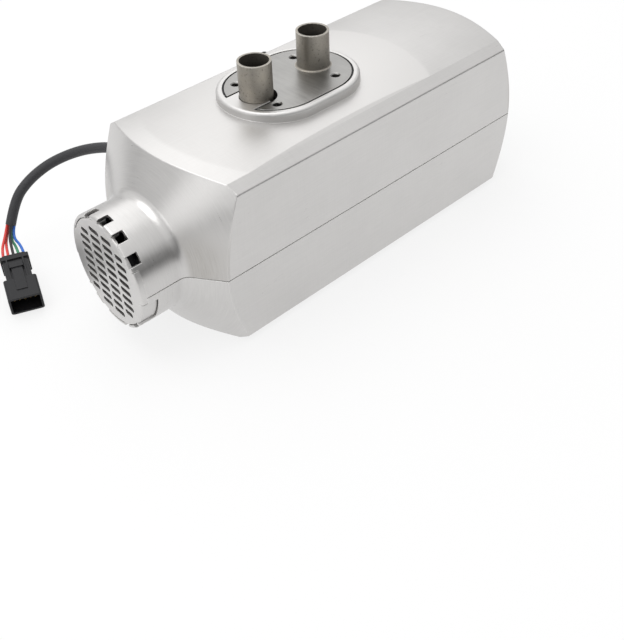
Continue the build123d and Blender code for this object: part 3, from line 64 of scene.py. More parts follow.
PAD_RADIUS = 0.107               # of the shallow round pad, in plan
PLATE_TOP = 0.1373               # face of the mounting plate
PLATE_DEPTH = 0.0062             # of the plate's brushed part
STUB_TOP = 0.1638
STUB_BORE = 0.0104               # radius of both stubs' bores
STUB_REACH = 0.030               # of the stubs' bores below the plate's face
AIR_STUB = (-0.0489, -0.0022)
EXHAUST_STUB = (0.0109, 0.0022)
BOARD_TOP = 0.1109               # bare face of the circuit board

# ---- where a finish changes: from, to ----
CONE_EDGE = (-0.0022, -0.0012)       # along X, about the edge between a cone and the long faces
PAD_EDGE = (0.0015, -0.0025)         # outwards from the pad's radius
# Along X, where the painted highlight on the pad grows:
PAD_PAINTED_HIGHLIGHT = (-0.11, 0.05)        # along X, from the pad's middle
# Where the painted shade on the cones' flanks lies:
FLANK_SIDEWAYS = (0.022, 0.050)      # from the middle plane
FLANK_HEIGHT = (0.104, 0.078)        # over the resting face
FLANK_STARTS = (COLLAR_RADIUS + 0.001, COLLAR_RADIUS + 0.005)    # from the air path's centreline
FLANK_FADES = (0.052, 0.078)         # from the same line
# Where the soot and painted shade in a bore grow:
SOOT_AND_SHADE_DEPTH = (0.0, 0.012)            # below a stub's rim
BORE_EDGE = (STUB_BORE + 0.0003, STUB_BORE)      # from a stub's axis
# Painted highlights on sharp edges: where they start and where they are full.
EDGE_TURN = (0.01, 0.12)             # of 1 less the cosine between the rounded and the flat normal

# ---- fixed tints, in linear light ----
# Painted highlights on sharp edges, for the casing, the grille, the plate and stubs, and the screws.
CASING_EDGE_HIGHLIGHT = (0.90, 0.89, 0.87)
GRILLE_EDGE_HIGHLIGHT = (0.90, 0.895, 0.88)
DULL_EDGE_HIGHLIGHT = (0.86, 0.85, 0.83)
SCREW_EDGE_HIGHLIGHT = (0.62, 0.61, 0.60)
# Painted shade on the cones' flanks:
FLANK_PAINTED_SHADE = (0.66, 0.645, 0.62)     # share of the casing's colour
WARM_TINT = (1.22, 1.16, 1.08)       # share of the stubs' colour
# Soot and painted shade inside the bores:
SOOT_AND_SHADE = (0.030, 0.027, 0.024)
STRAW = (0.34, 0.24, 0.13)
BOARD_PARTS = (0.02, 0.02, 0.022)
METAL = 1.0
NO_METAL = 0.0

# ---- stage ----
CAMERA_RIGHT = (0.71012, -0.70333, -0.03167)
CAMERA_BACK = (-0.51853, -0.55292, 0.65222)
FLOOR_GAP = 0.0004                   # between the floor and the resting face
FLOOR_WHITE = 0.78                   # share of plain white that the camera and the metal see
SKY_LEAN = (0.0, 0.25, 1.0)          # direction in which the sky gets lighter
SKY_HEIGHT = (0.06, 0.48)            # where it starts and stops getting lighter
SKY_LEVEL = (0.13, 0.95)
LAMPS = (                            # name, place, point that it faces, diameter, watts
    ("lamp_over", (-0.25, 0.30, 1.5), (0.0, 0.0, 0.05), 1.5, 7.4),
    ("lamp_behind", (0.86, 1.20, 1.28), (0.0, 0.0, 0.10), 1.2, 2.4),
    ("lamp_intake", (-1.6, 0.03, 0.48), (-0.15, 0.0, 0.08), 0.75, 1.55),
)

# ---- free loom ----
SLEEVE_ROUTE = [
    (-0.1090, 0.0748, 0.0840),
    (-0.1090, 0.0950, 0.0840),
    (-0.1155, 0.1180, 0.0770),
    (-0.1250, 0.1360, 0.0690),
    (-0.1400, 0.1480, 0.0610),
    (-0.1580, 0.1510, 0.0530),
    (-0.1730, 0.1500, 0.0430),
    (-0.1833, 0.1460, 0.0270),
]
WIRE_ROUTES = {
    "wire_red_outer": [
        (-0.18566, 0.14668, 0.02835),
        (-0.19081, 0.14468, 0.02034),
        (-0.20249, 0.13132, 0.01958),
        (-0.20716, 0.12049, 0.01740),
    ],
    "wire_red_inner": [
        (-0.18376, 0.14873, 0.02661),
        (-0.18997, 0.14632, 0.01696),
        (-0.19891, 0.12978, 0.01958),
        (-0.20358, 0.11894, 0.01740),
    ],
    "wire_black": [
        (-0.18430, 0.14369, 0.02822),
        (-0.18859, 0.14202, 0.02155),
        (-0.19533, 0.12824, 0.01958),
        (-0.20000, 0.11740, 0.01740),
    ],
    "wire_green": [
        (-0.18123, 0.14701, 0.02541),
        (-0.18723, 0.14468, 0.01608),
        (-0.19175, 0.12669, 0.01958),
        (-0.19642, 0.11586, 0.01740),
    ],
    "wire_blue": [
        (-0.18156, 0.14389, 0.02641),
        (-0.18638, 0.14202, 0.01892),
        (-0.18817, 0.12515, 0.01958),
        (-0.19284, 0.11431, 0.01740),
    ],
}


# ---- what a user may change ----
def colour_property(name, description, default):
    return bpy.props.FloatVectorProperty(
        name=name, description=description, default=default, subtype="COLOR", size=3, min=0.0, max=1.0
    )


def length_property(name, description, default):
    return bpy.props.FloatProperty(
        name=name, description=description, default=default, min=0.0, unit="LENGTH", precision=4
    )


def share_property(name, description, default):
    return bpy.props.FloatProperty(name=name, description=description, default=default, min=0.0, max=1.0)


class HeaterLoomSizes(bpy.types.PropertyGroup):
    """Sizes of the free loom."""

    sleeve_diameter: length_property("Sleeve diameter", "Outside of the braided sleeve", 0.008)
    wire_diameter: length_property("Wire diameter", "Outside of one insulated wire", 0.0022)


class HeaterColours(bpy.types.PropertyGroup):
    """Colours of the finishes, in linear light."""

    casing: colour_property("Casing", "Cast and brushed shells", (0.63, 0.62, 0.61))
    plate: colour_property("Mounting plate", "Brushed face of the mounting plate", (0.345, 0.34, 0.33))
    stub: colour_property("Stubs", "Both pipe stubs", (0.37, 0.355, 0.325))
    casting: colour_property("Inner castings", "Castings inside the casing", (0.50, 0.49, 0.48))
    steel: colour_property("Steel", "Plain steel pieces", (0.56, 0.56, 0.57))
    hot_steel: colour_property("Heated steel", "Steel of the combustion space", (0.26, 0.22, 0.19))
    zinc: colour_property("Screws", "Dark plated screws", (0.30, 0.30, 0.31))
    plastic: colour_property("Plastic", "Black moulded plastic", (0.014, 0.014, 0.016))
    rubber: colour_property("Rubber", "Seals and grommets", (0.020, 0.020, 0.021))
    fibre: colour_property("Gaskets", "Pressed fibre gaskets", (0.20, 0.19, 0.18))
    sleeve: colour_property("Sleeve", "Braided loom sleeve", (0.028, 0.028, 0.031))
    red: colour_property("Red wires", "Insulation of both supply wires", (0.72, 0.05, 0.04))
    black: colour_property("Black wire", "Insulation of the return wire", (0.018, 0.018, 0.019))
    green: colour_property("Green wire", "Insulation of the signal wire", (0.05, 0.26, 0.13))
    blue: colour_property("Blue wire", "Insulation of the pump wire", (0.03, 0.16, 0.62))
    brass: colour_property("Contacts", "Plated connector contacts", (0.72, 0.52, 0.22))
    bronze: colour_property("Bushes", "Sintered bronze bushes", (0.50, 0.33, 0.17))
    ferrite: colour_property("Magnets", "Ferrite magnets", (0.10, 0.10, 0.11))
    board: colour_property("Board", "Circuit board", (0.03, 0.17, 0.09))


class HeaterWear(bpy.types.PropertyGroup):
    """How strongly the metal shows how it was made and handled, and how strong the painted highlights on its
    edges are.
    """

    brushing: share_property("Brushing", "Strength of the brushed grain", 0.55)
    scratches: share_property("Scratches", "Strength of handling scratches", 0.35)
    # Strength of the painted highlight on sharp edges.
    edge_highlights: share_property("Bright edges", "How far worn edges shine", 0.6)


class HeaterStage(bpy.types.PropertyGroup):
    """Floor and camera."""

    floor: colour_property("Floor", "Colour of the floor", (0.90, 0.90, 0.90))
    floor_size: length_property("Floor size", "Length of the floor's sides", 12.0)
    lens: bpy.props.FloatProperty(
        name="Lens", description="Focal length of the camera", default=55.05, min=10.0, unit="CAMERA"
    )
    camera_place: bpy.props.FloatVectorProperty(
        name="Camera place", description="Where the camera stands", default=(-0.4472, -0.4735, 0.4605),
        subtype="TRANSLATION", size=3
    )


# ---- shader nodes ----
class Signal:
    """One output of a shader node. Arithmetic on it adds the Math nodes that it needs."""

    def __init__(self, owner, socket):
        self.owner = owner
        self.socket = socket

    def maths(self, operation, *values):
        return self.owner.node("ShaderNodeMath", {"operation": operation}, dict(enumerate(values)))

    def __add__(self, other):
        return self.maths("ADD", self, other)

    def __radd__(self, other):
        return self.maths("ADD", other, self)

    def __sub__(self, other):
        return self.maths("SUBTRACT", self, other)

    def __rsub__(self, other):
        return self.maths("SUBTRACT", other, self)

    def __mul__(self, other):
        return self.maths("MULTIPLY", self, other)

    def __rmul__(self, other):
        return self.maths("MULTIPLY", other, self)

    def __pow__(self, other):
        return self.maths("POWER", self, other)

    def __abs__(self):
        return self.maths("ABSOLUTE", self)

    def __gt__(self, other):
        return self.maths("GREATER_THAN", self, other)

    def __lt__(self, other):
        return self.maths("LESS_THAN", self, other)

    def larger(self, other):
        return self.maths("MAXIMUM", self, other)

    def arctan2(self, other):
        return self.maths("ARCTAN2", self, other)

    def swing(self, reach):
        """A signal from 0 to 1 turned into one about 0, over this reach."""
        return (self - 0.5) * reach

    def smooth_step(self, start, stop):
        """0 up to the start, 1 past the stop and a soft change between them; the stop may lie below."""
        return self.owner.node(
            "ShaderNodeMapRange",
            {"interpolation_type": "SMOOTHSTEP"},
            {"Value": self, "From Min": start, "From Max": stop, "To Min": 0.0, "To Max": 1.0},
        )


class NodeTree:
    """The node tree of a material or a world."""

    def __init__(self, owner):
        owner.use_nodes = True
        self.tree = owner.node_tree
        self.tree.nodes.clear()

    def node(self, kind, settings=None, values=None, output=0):
        """Add a node: its settings first, then the values or links of its sockets.

        It gives back one of the node's outputs, or the node itself where that has none."""
        node = self.tree.nodes.new(kind)
        for key, value in (settings or {}).items():
            setattr(node, key, value)
        for key, value in (values or {}).items():
            self.set_input(node, key, value)
        return Signal(self, node.outputs[output]) if node.outputs else node

    def set_input(self, node, key, value):
        socket = node.inputs[key]
        if isinstance(value, Signal):
            self.tree.links.new(value.socket, socket)
        else:
            socket.default_value = value

    def dot(self, first, second):
        """Dot product of two vectors."""
        return self.node("ShaderNodeVectorMath", {"operation": "DOT_PRODUCT"}, {0: first, 1: second}, "Value")


class Finish(NodeTree):
    """A material with a Principled shader, and the nodes that feed it."""

    def __init__(self, name, colour, metallic, roughness):
        self.material = bpy.data.materials.new(name)
        super().__init__(self.material)
        self.colour = tuple(colour)
        self.surface = self.node(
            "ShaderNodeBsdfPrincipled", {},
            {"Base Color": (*self.colour, 1.0), "Metallic": metallic, "Roughness": roughness}, "BSDF"
        )
        self.shader = self.surface.socket.node
        self.end = self.node("ShaderNodeOutputMaterial", {}, {"Surface": self.surface})
        self.place = self.node("ShaderNodeTexCoord", output="Object")
        self.x, self.y, self.z = (
            self.node("ShaderNodeSeparateXYZ", {}, {"Vector": self.place}, axis) for axis in "XYZ"
        )

    def vector(self, x, y, z):
        return self.node("ShaderNodeCombineXYZ", {}, {"X": x, "Y": y, "Z": z})

    def noise(self, scale, detail=3.0, rough=0.6, where=None):
        """Noise from 0 to 1 at a number of waves to the metre."""
        return self.node(
            "ShaderNodeTexNoise", {},
            {"Vector": where or self.place, "Scale": scale, "Detail": detail, "Roughness": rough}, "Fac"
        )

    def mix(self, share, first, second):
        """Mix two numbers by a share."""
        return self.node("ShaderNodeMix", {"data_type": "FLOAT"}, {"Factor": share, "A": first, "B": second})

    def mix_colour(self, share, first, second):
        """Mix two colours by a share. The node's colour sockets share their names with others."""
        share_socket, first_socket, second_socket, mixed_socket = 0, 6, 7, 2
        first, second = (
            value if isinstance(value, Signal) else (*value, 1.0) for value in (first, second)
        )
        return self.node(
            "ShaderNodeMix", {"data_type": "RGBA"},
            {share_socket: share, first_socket: first, second_socket: second}, mixed_socket
        )

    def tone(self, *factors):
        """The finish's own colour, lighter or darker, by one factor or by one for each channel."""
        return tuple(min(channel * factor, 1.0) for channel, factor in zip(self.colour, factors * 3))

    def set_colour(self, value):
        self.set_input(self.shader, "Base Color", value)

    def set_roughness(self, value):
        self.set_input(self.shader, "Roughness", value)

    def set_relief(self, height, strength, depth, edge_radius=0.0):
        """Fine relief from a height signal; edges may look rounded over a small radius."""
        values = {"Height": height, "Strength": strength, "Distance": depth}
        if edge_radius:
            values["Normal"] = self.rounded(edge_radius)
        self.set_input(self.shader, "Normal", self.node("ShaderNodeBump", {}, values))

    def rounded(self, radius):
        return self.node("ShaderNodeBevel", {"samples": 4}, {"Radius": radius})

    def paint_edge_highlight(self, base, radius, strength, tint):
        """Paint a highlight in this tint on the sharp edges of a solid."""
        facing = self.node("ShaderNodeNewGeometry", output="Normal")
        edge = (1.0 - self.dot(self.rounded(radius), facing)).smooth_step(*EDGE_TURN)
        return self.mix_colour(edge * strength, base, tint)

    def from_axis(self):
        """Distance from the air path's centreline, and the angle round it."""
        up = self.z - AXIS_HEIGHT
        distance = (self.y * self.y + up * up) ** 0.5
        return distance, self.y.arctan2(up)


# ---- casing, flange and stubs ----
def brushed_casing():
    """Cast shells: ground round the cones and collars, brushed along the flat faces."""
    colours, wear = bpy.context.scene.heater_colours, bpy.context.scene.heater_wear
    finish = Finish("casing_brushed", colours.casing, METAL, 0.33)
    x, y, z = finish.x, finish.y, finish.z
    distance, angle = finish.from_axis()
    middle = (FRONT_NECK_X + REAR_NECK_X) / 2
    half = (REAR_NECK_X - FRONT_NECK_X) / 2
    cone_edge = half - (distance - COLLAR_RADIUS) * CONE_SLOPE
    on_cone = (abs(x - middle) - cone_edge).smooth_step(*CONE_EDGE)

    round_grain = finish.noise(620.0, 4.0, 0.65, finish.vector(x * 2.0, distance * 2.0, angle * 0.006))
    long_grain = finish.noise(1500.0, 4.0, 0.6, finish.vector(x * 0.03, y, z))
    cross_grain = finish.noise(900.0, 3.0, 0.6, finish.vector(x, y * 0.05, z * 0.05))
    grain = finish.mix(on_cone, long_grain * 0.65 + cross_grain * 0.35, round_grain)
    cloud = finish.noise(16.0)
    slanting = finish.vector(x * 0.09 + z * 0.02, y + x * 0.22, z - x * 0.16)
    scratch_lines = finish.noise(720.0, 2.0, 0.5, slanting).smooth_step(0.66, 0.74)
    scratches = scratch_lines * finish.noise(42.0, 2.0, 0.5).smooth_step(0.50, 0.68) * wear.scratches

    share = grain.swing(2.0 * wear.brushing) + cloud.swing(0.7) + 0.5
    base = finish.mix_colour(share, finish.tone(0.87), finish.tone(1.07))
    # Painted shade on the flanks of the cones.
    flank_shade = painted_flank_shade(finish, distance, on_cone, round_grain)
    base = finish.mix_colour(flank_shade, base, finish.tone(*FLANK_PAINTED_SHADE))
    # Painted highlight on the pad, growing towards the warm end.
    pad, pad_painted_highlight = pad_and_painted_highlight(finish)
    base = finish.mix_colour(pad_painted_highlight, base, finish.tone(1.13))
    base = finish.mix_colour(scratches, base, finish.tone(0.72))
    # Painted highlight on the sharp edges.
    finish.set_colour(finish.paint_edge_highlight(base, 0.0011, wear.edge_highlights, CASING_EDGE_HIGHLIGHT))
    rough = 0.32 + grain.swing(0.34 * wear.brushing) + cloud.swing(0.10)
    finish.set_roughness(rough - scratches * 0.10 + pad * 0.13)
    finish.set_relief(grain - scratches * 0.6, strength=0.22, depth=0.00006, edge_radius=0.0008)
    return finish.material


def painted_flank_shade(finish, distance, on_cone, round_grain):
    """Painted shade on both flanks of the flange side's cones, strongest next to the neck and streaked with
    the grain.
    """
    place = abs(finish.y).smooth_step(*FLANK_SIDEWAYS) * finish.z.smooth_step(*FLANK_HEIGHT)
    place = place * on_cone * (finish.z > AXIS_HEIGHT) * distance.smooth_step(*FLANK_STARTS)
    fading = 1.0 - distance.smooth_step(*FLANK_FADES) * 0.65
    return place * fading * (0.72 + round_grain.swing(1.2))


def pad_and_painted_highlight(finish):
    """The pad round the flange is ground apart from the top about it; a painted highlight on it grows towards
    the warm end.
    """
    along = finish.x - PAD_MIDDLE_X
    reach = (along * along + finish.y * finish.y) ** 0.5
    on_top = (finish.z > TOP_LOWEST) * (abs(finish.y) < TOP_HALF_WIDTH)
    inside = (reach - PAD_RADIUS).smooth_step(*PAD_EDGE) * on_top
    return inside, inside * along.smooth_step(*PAD_PAINTED_HIGHLIGHT) * 0.8


def grille_metal():
    """The intake grille: satin cast metal with a painted highlight on the bars' edges."""
    colours, wear = bpy.context.scene.heater_colours, bpy.context.scene.heater_wear
    finish = Finish("grille_satin", colours.casing, METAL, 0.42)
    grit = finish.noise(1600.0, 2.0, 0.5)
    cloud = finish.noise(60.0)
    base = finish.mix_colour(grit.swing(0.7) + cloud.swing(0.9) + 0.5, finish.tone(0.92), finish.tone(1.14))
    # Painted highlight on the sharp edges.
    finish.set_colour(finish.paint_edge_highlight(base, 0.0006, wear.edge_highlights, GRILLE_EDGE_HIGHLIGHT))
    finish.set_roughness(0.40 + grit.swing(0.15) + cloud.swing(0.1))
    finish.set_relief(grit, strength=0.25, depth=0.00005, edge_radius=0.0004)
    return finish.material


def plate_metal():
    """One casting: brushed face, plain fins and core below, and the passage under the exhaust stub darkened
    by soot and painted shade; painted highlights on the edges.
    """
    colours, wear = bpy.context.scene.heater_colours, bpy.context.scene.heater_wear
    finish = Finish("plate_brushed", colours.plate, METAL, 0.40)
    below = finish.z < PLATE_TOP - PLATE_DEPTH
    brush = finish.noise(1300.0, 4.0, 0.6, finish.vector(finish.x, finish.y * 0.04, finish.z))
    grit = finish.noise(1500.0)
    cloud = finish.noise(55.0)
    plate = finish.mix_colour(brush.swing(1.3) + cloud.swing(0.7) + 0.5, finish.tone(0.74), finish.tone(1.18))
    dark_cast = tuple(channel * 0.8 for channel in colours.casting)
    cast = finish.mix_colour(grit * 0.6 + cloud * 0.4, dark_cast, colours.casting)
    base = finish.mix_colour(below, plate, cast)
    # Painted highlight on the sharp edges.
    base = finish.paint_edge_highlight(base, 0.0006, wear.edge_highlights, DULL_EDGE_HIGHLIGHT)
    # Soot and painted shade in the exhaust passage.
    base, soot_and_shade = darken_bore_with_soot_and_shade(finish, base, EXHAUST_STUB, 0.75)
    finish.set_colour(base)
    rough = finish.mix(below, 0.36 + brush.swing(0.24), 0.48 + grit.swing(0.22))
    finish.set_roughness(finish.mix(soot_and_shade, rough, 0.9))
    finish.set_relief(finish.mix(below, brush, grit), strength=0.28, depth=0.00007, edge_radius=0.0005)
    return finish.material


def stub_metal(name, centre, soot_and_shade_strength):
    """Blasted tube: grey-brown and speckled, with a painted highlight on the cut rim and a bore darkened by
    soot and painted shade.
    """
    colours, wear = bpy.context.scene.heater_colours, bpy.context.scene.heater_wear
    finish = Finish(name, colours.stub, METAL, 0.44)
    grit = finish.noise(1500.0)
    cloud = finish.noise(70.0)
    rings = finish.noise(900.0, 2.0, 0.6, finish.vector(0.0, 0.0, finish.z))
    spots = finish.noise(620.0, 2.0, 0.5).smooth_step(0.60, 0.70)
    share = grit.swing(0.9) + cloud.swing(1.2) + rings.swing(0.4) + 0.5
    base = finish.mix_colour(share, finish.tone(0.72), finish.tone(*WARM_TINT))
    base = finish.mix_colour(spots * 0.5, base, finish.tone(0.42))
    # Painted highlight on the cut rim and other sharp edges.
    base = finish.paint_edge_highlight(base, 0.0006, wear.edge_highlights, DULL_EDGE_HIGHLIGHT)
    # Soot and painted shade in the bore.
    base, soot_and_shade = darken_bore_with_soot_and_shade(finish, base, centre, soot_and_shade_strength)
    finish.set_colour(base)
    finish.set_roughness(finish.mix(soot_and_shade, 0.42 + grit.swing(0.26) + spots * 0.12, 0.85))
    finish.set_relief(grit - spots * 0.6, strength=0.32, depth=0.00008, edge_radius=0.0005)
    return finish.material


def darken_bore_with_soot_and_shade(finish, base, centre, strength):
    """Darken the inside of a stub with soot and painted shade, more towards its depth."""
    dx = finish.x - centre[0]
    dy = finish.y - centre[1]
    reach = (dx * dx + dy * dy) ** 0.5
    inside = reach.smooth_step(*BORE_EDGE) * (finish.z > PLATE_TOP - STUB_REACH)
    depth = (STUB_TOP - finish.z).smooth_step(*SOOT_AND_SHADE_DEPTH) * strength + (1.0 - strength) * 0.8
    soot_and_shade = inside * depth
    return finish.mix_colour(soot_and_shade, base, SOOT_AND_SHADE), soot_and_shade


# ---- metal inside the casing ----
def inner_casting():
    colours = bpy.context.scene.heater_colours
    finish = Finish("inner_casting", colours.casting, METAL, 0.5)
    grit = finish.noise(900.0, 4.0, 0.65)
    cloud = finish.noise(40.0)
    finish.set_colour(finish.mix_colour(grit * 0.6 + cloud * 0.4, finish.tone(0.78), finish.tone(1.1)))
    finish.set_roughness(0.48 + grit.swing(0.25))
    finish.set_relief(grit, strength=0.4, depth=0.00012, edge_radius=0.0004)
    return finish.material


def turned_steel():
    colours = bpy.context.scene.heater_colours
    finish = Finish("turned_steel", colours.steel, METAL, 0.28)
    distance, angle = finish.from_axis()
    rings = finish.noise(1400.0, 3.0, 0.6, finish.vector(finish.x, distance, angle * 0.004))
    finish.set_colour(finish.mix_colour(rings, finish.tone(0.85), finish.tone(1.12)))
    finish.set_roughness(0.27 + rings.swing(0.18))
    finish.set_relief(rings, strength=0.2, depth=0.00004, edge_radius=0.0004)
    return finish.material


def heated_steel():
    """Steel with straw-coloured and dark areas from the flame."""
    colours = bpy.context.scene.heater_colours
    finish = Finish("heated_steel", colours.hot_steel, METAL, 0.5)
    cloud = finish.noise(45.0, 4.0, 0.65)
    scale = finish.noise(700.0)
    finish.set_colour(finish.mix_colour(cloud.smooth_step(0.40, 0.65), finish.tone(0.7), STRAW))
    finish.set_roughness(0.46 + scale.swing(0.3))
    finish.set_relief(scale, strength=0.3, depth=0.00008)
    return finish.material


def plated_screws():
    colours = bpy.context.scene.heater_colours
    finish = Finish("plated_screws", colours.zinc, METAL, 0.35)
    grit = finish.noise(1800.0, 2.0, 0.5)
    base = finish.mix_colour(grit, finish.tone(0.8), finish.tone(1.15))
    # Painted highlight on the sharp edges.
    finish.set_colour(finish.paint_edge_highlight(base, 0.0004, 0.6, SCREW_EDGE_HIGHLIGHT))
    finish.set_roughness(0.33 + grit.swing(0.2))
    finish.set_relief(grit, strength=0.2, depth=0.00004, edge_radius=0.0003)
    return finish.material


def soft_metal(name, colour):
    """Brass and bronze pieces."""
    finish = Finish(name, colour, METAL, 0.32)
    cloud = finish.noise(300.0)
    finish.set_colour(finish.mix_colour(cloud, finish.tone(0.8), finish.tone(1.15)))
    finish.set_roughness(0.30 + cloud.swing(0.2))
    finish.set_relief(cloud, strength=0.15, depth=0.00004)
    return finish.material


# ---- plastics, rubber, fibre and wire ----
def moulded(name, colour, rough, grain_scale, relief, edge_radius=0.0004):
    """Moulded plastic or rubber: fine grain, and a painted highlight that makes the edges slightly lighter.
    """
    finish = Finish(name, colour, NO_METAL, rough)
    finish.set_input(finish.shader, "Specular IOR Level", 0.28)
    grain = finish.noise(grain_scale)
    cloud = finish.noise(70.0)
    base = finish.mix_colour(grain.swing(0.6) + cloud.swing(0.6) + 0.5, finish.tone(0.75), finish.tone(1.35))
    # Painted highlight on the edges, a little lighter than the moulding.
    edge_highlight = tuple(min(channel * 3.0 + 0.015, 1.0) for channel in finish.colour)
    finish.set_colour(finish.paint_edge_highlight(base, edge_radius, 0.35, edge_highlight))
    finish.set_roughness(rough + grain.swing(0.18) + cloud.swing(0.10))
    finish.set_relief(grain, strength=relief, depth=0.00006, edge_radius=edge_radius)
    return finish.material


def insulation(name, colour):
    """Smooth extruded insulation with faint dull areas."""
    finish = Finish(name, colour, NO_METAL, 0.38)
    cloud = finish.noise(220.0)
    fine = finish.noise(1500.0, 2.0, 0.5)
    finish.set_colour(finish.mix_colour(cloud, finish.tone(0.82), finish.tone(1.12)))
    finish.set_roughness(0.36 + cloud.swing(0.2) + fine.swing(0.08))
    finish.set_relief(fine, strength=0.12, depth=0.00003)
    return finish.material


def braid():
    """Woven sleeve: two sets of strands cross along the loom."""
    colours = bpy.context.scene.heater_colours
    finish = Finish("sleeve_braid", colours.sleeve, NO_METAL, 0.5)
    first, second = (
        finish.node("ShaderNodeTexWave", {"wave_type": "BANDS", "bands_direction": "DIAGONAL"},
                    {"Vector": where, "Scale": 420.0, "Distortion": 0.6, "Detail": 1.0}, "Fac")
        for where in (finish.place, finish.vector(finish.x * -1.0, finish.y, finish.z))
    )
    weave = first.larger(second)
    fuzz = finish.noise(1700.0, 2.0, 0.5)
    finish.set_colour(finish.mix_colour(weave * 0.8 + fuzz.swing(0.4), finish.tone(0.45), finish.tone(1.6)))
    finish.set_roughness(0.46 + fuzz.swing(0.2) + weave * 0.1)
    finish.set_relief(weave, strength=0.5, depth=0.00018)
    return finish.material


def circuit_board():
    """Board with faint tracks; whatever stands on it is black."""
    colours = bpy.context.scene.heater_colours
    finish = Finish("circuit_board", colours.board, NO_METAL, 0.4)
    on_parts = (finish.z - BOARD_TOP).smooth_step(0.0001, 0.0004)
    stretched = finish.vector(finish.x, finish.y * 0.2, finish.z)
    tracks = finish.noise(500.0, 2.0, 0.5, stretched).smooth_step(0.5, 0.56)
    board = finish.mix_colour(tracks, finish.colour, finish.tone(1.6))
    finish.set_colour(finish.mix_colour(on_parts, board, BOARD_PARTS))
    finish.set_roughness(0.38 + tracks * 0.1)
    finish.set_relief(tracks, strength=0.2, depth=0.00005)
    return finish.material


def fibre_sheet():
    colours = bpy.context.scene.heater_colours
    finish = Finish("gasket_fibre", colours.fibre, NO_METAL, 0.85)
    fibre = finish.noise(800.0, 5.0, 0.7)
    finish.set_colour(finish.mix_colour(fibre, finish.tone(0.6), finish.tone(1.4)))
    finish.set_roughness(0.82 + fibre.swing(0.2))
    finish.set_relief(fibre, strength=0.5, depth=0.0001)
    return finish.material


# ---- carrying the finishes to the solids ----
def dress(nodes, material):
    """Give every named solid of the frame this finish in all its slots."""
    for name in nodes:
        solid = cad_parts[name]
        if not solid.material_slots:
            solid.data.materials.append(material)
        for slot in solid.material_slots:
            slot.material = material


def spline_object(name, points, diameter, material):
    """A round cord on one smooth spline whose control points are the route."""
    curve = bpy.data.curves.new(name, "CURVE")
    curve.dimensions = "3D"
    curve.bevel_depth = diameter / 2
    curve.bevel_resolution = 6
    curve.resolution_u = 16
    curve.use_fill_caps = True
    spline = curve.splines.new("NURBS")
    spline.points.add(len(points) - 1)
    for point, place in zip(spline.points, points):
        point.co = (*place, 1.0)
    spline.order_u = 3
    spline.use_endpoint_u = True
    cord = bpy.data.objects.new(name, curve)
    bpy.context.scene.collection.objects.link(cord)
    curve.materials.append(material)
    return cord


def spline_length(cord):
    """Length of a cord's own centreline."""
    plain = cord.data.copy()
    plain.bevel_depth = 0.0
    probe = bpy.data.objects.new("probe", plain)
    mesh = bpy.data.meshes.new_from_object(probe)
    total = sum((mesh.vertices[a].co - mesh.vertices[b].co).length
                for a, b in (edge.vertices for edge in mesh.edges))
    bpy.data.meshes.remove(mesh)
    bpy.data.objects.remove(probe)
    bpy.data.curves.remove(plain)
    return total


# ---- operators ----
class HEATER_OT_camera(bpy.types.Operator):
    """Stand the camera above the intake end, looking down on the flange side"""

    bl_idname = "heater.camera"
    bl_label = "Camera"

    def execute(self, context):
        stage = context.scene.heater_stage
        data = bpy.data.cameras.new("heater_camera")
        data.lens = stage.lens
        data.sensor_width = 36.0
        data.clip_start = 0.01
        camera = bpy.data.objects.new("heater_camera", data)
        right = Vector(CAMERA_RIGHT).normalized()
        back = Vector(CAMERA_BACK).normalized()
        up = back.cross(right).normalized()
        turn = Matrix((right, up, back)).transposed().to_4x4()
        camera.matrix_world = Matrix.Translation(stage.camera_place) @ turn
        context.scene.collection.objects.link(camera)
        context.scene.camera = camera
        return {"FINISHED"}


class HEATER_OT_loom(bpy.types.Operator):
    """Lay the braided sleeve and the five wires from the gland to the connector"""

    bl_idname = "heater.loom"
    bl_label = "Loom"

    def execute(self, context):
        colours, sizes = context.scene.heater_colours, context.scene.heater_loom
        sleeve = spline_object("loom_sleeve_braid", SLEEVE_ROUTE, sizes.sleeve_diameter, braid())
        red = insulation("wire_red_insulation", colours.red)
        wires = {
            "wire_red_outer": red,
            "wire_red_inner": red,
            "wire_black": insulation("wire_black_insulation", colours.black),
            "wire_green": insulation("wire_green_insulation", colours.green),
            "wire_blue": insulation("wire_blue_insulation", colours.blue),
        }
        strands = []
        for node, route in WIRE_ROUTES.items():
            strand = spline_object(node + "_strand", route, sizes.wire_diameter, wires[node])
            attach(strand, "heater")
            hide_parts(node)
            strands.append((strand, route))
        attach(sleeve, "heater")
        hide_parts("loom_sleeve")
        spline_length(sleeve)
        for strand, route in strands:
            spline_length(strand)
        return {"FINISHED"}


class HEATER_OT_casing(bpy.types.Operator):
    """Finish both shells, the intake grille, the outlet and the other black mouldings"""

    bl_idname = "heater.casing"
    bl_label = "Casing"

    def execute(self, context):
        colours = context.scene.heater_colours
        dress(["flange_side_shell", "cover_shell"], brushed_casing())
        dress(["intake_grille"], grille_metal())
        dress(["outlet_hood", "fan_wheel", "blower_impeller", "motor_end_cap"],
              moulded("black_moulding", colours.plastic, rough=0.42, grain_scale=1100.0, relief=0.25))
        return {"FINISHED"}


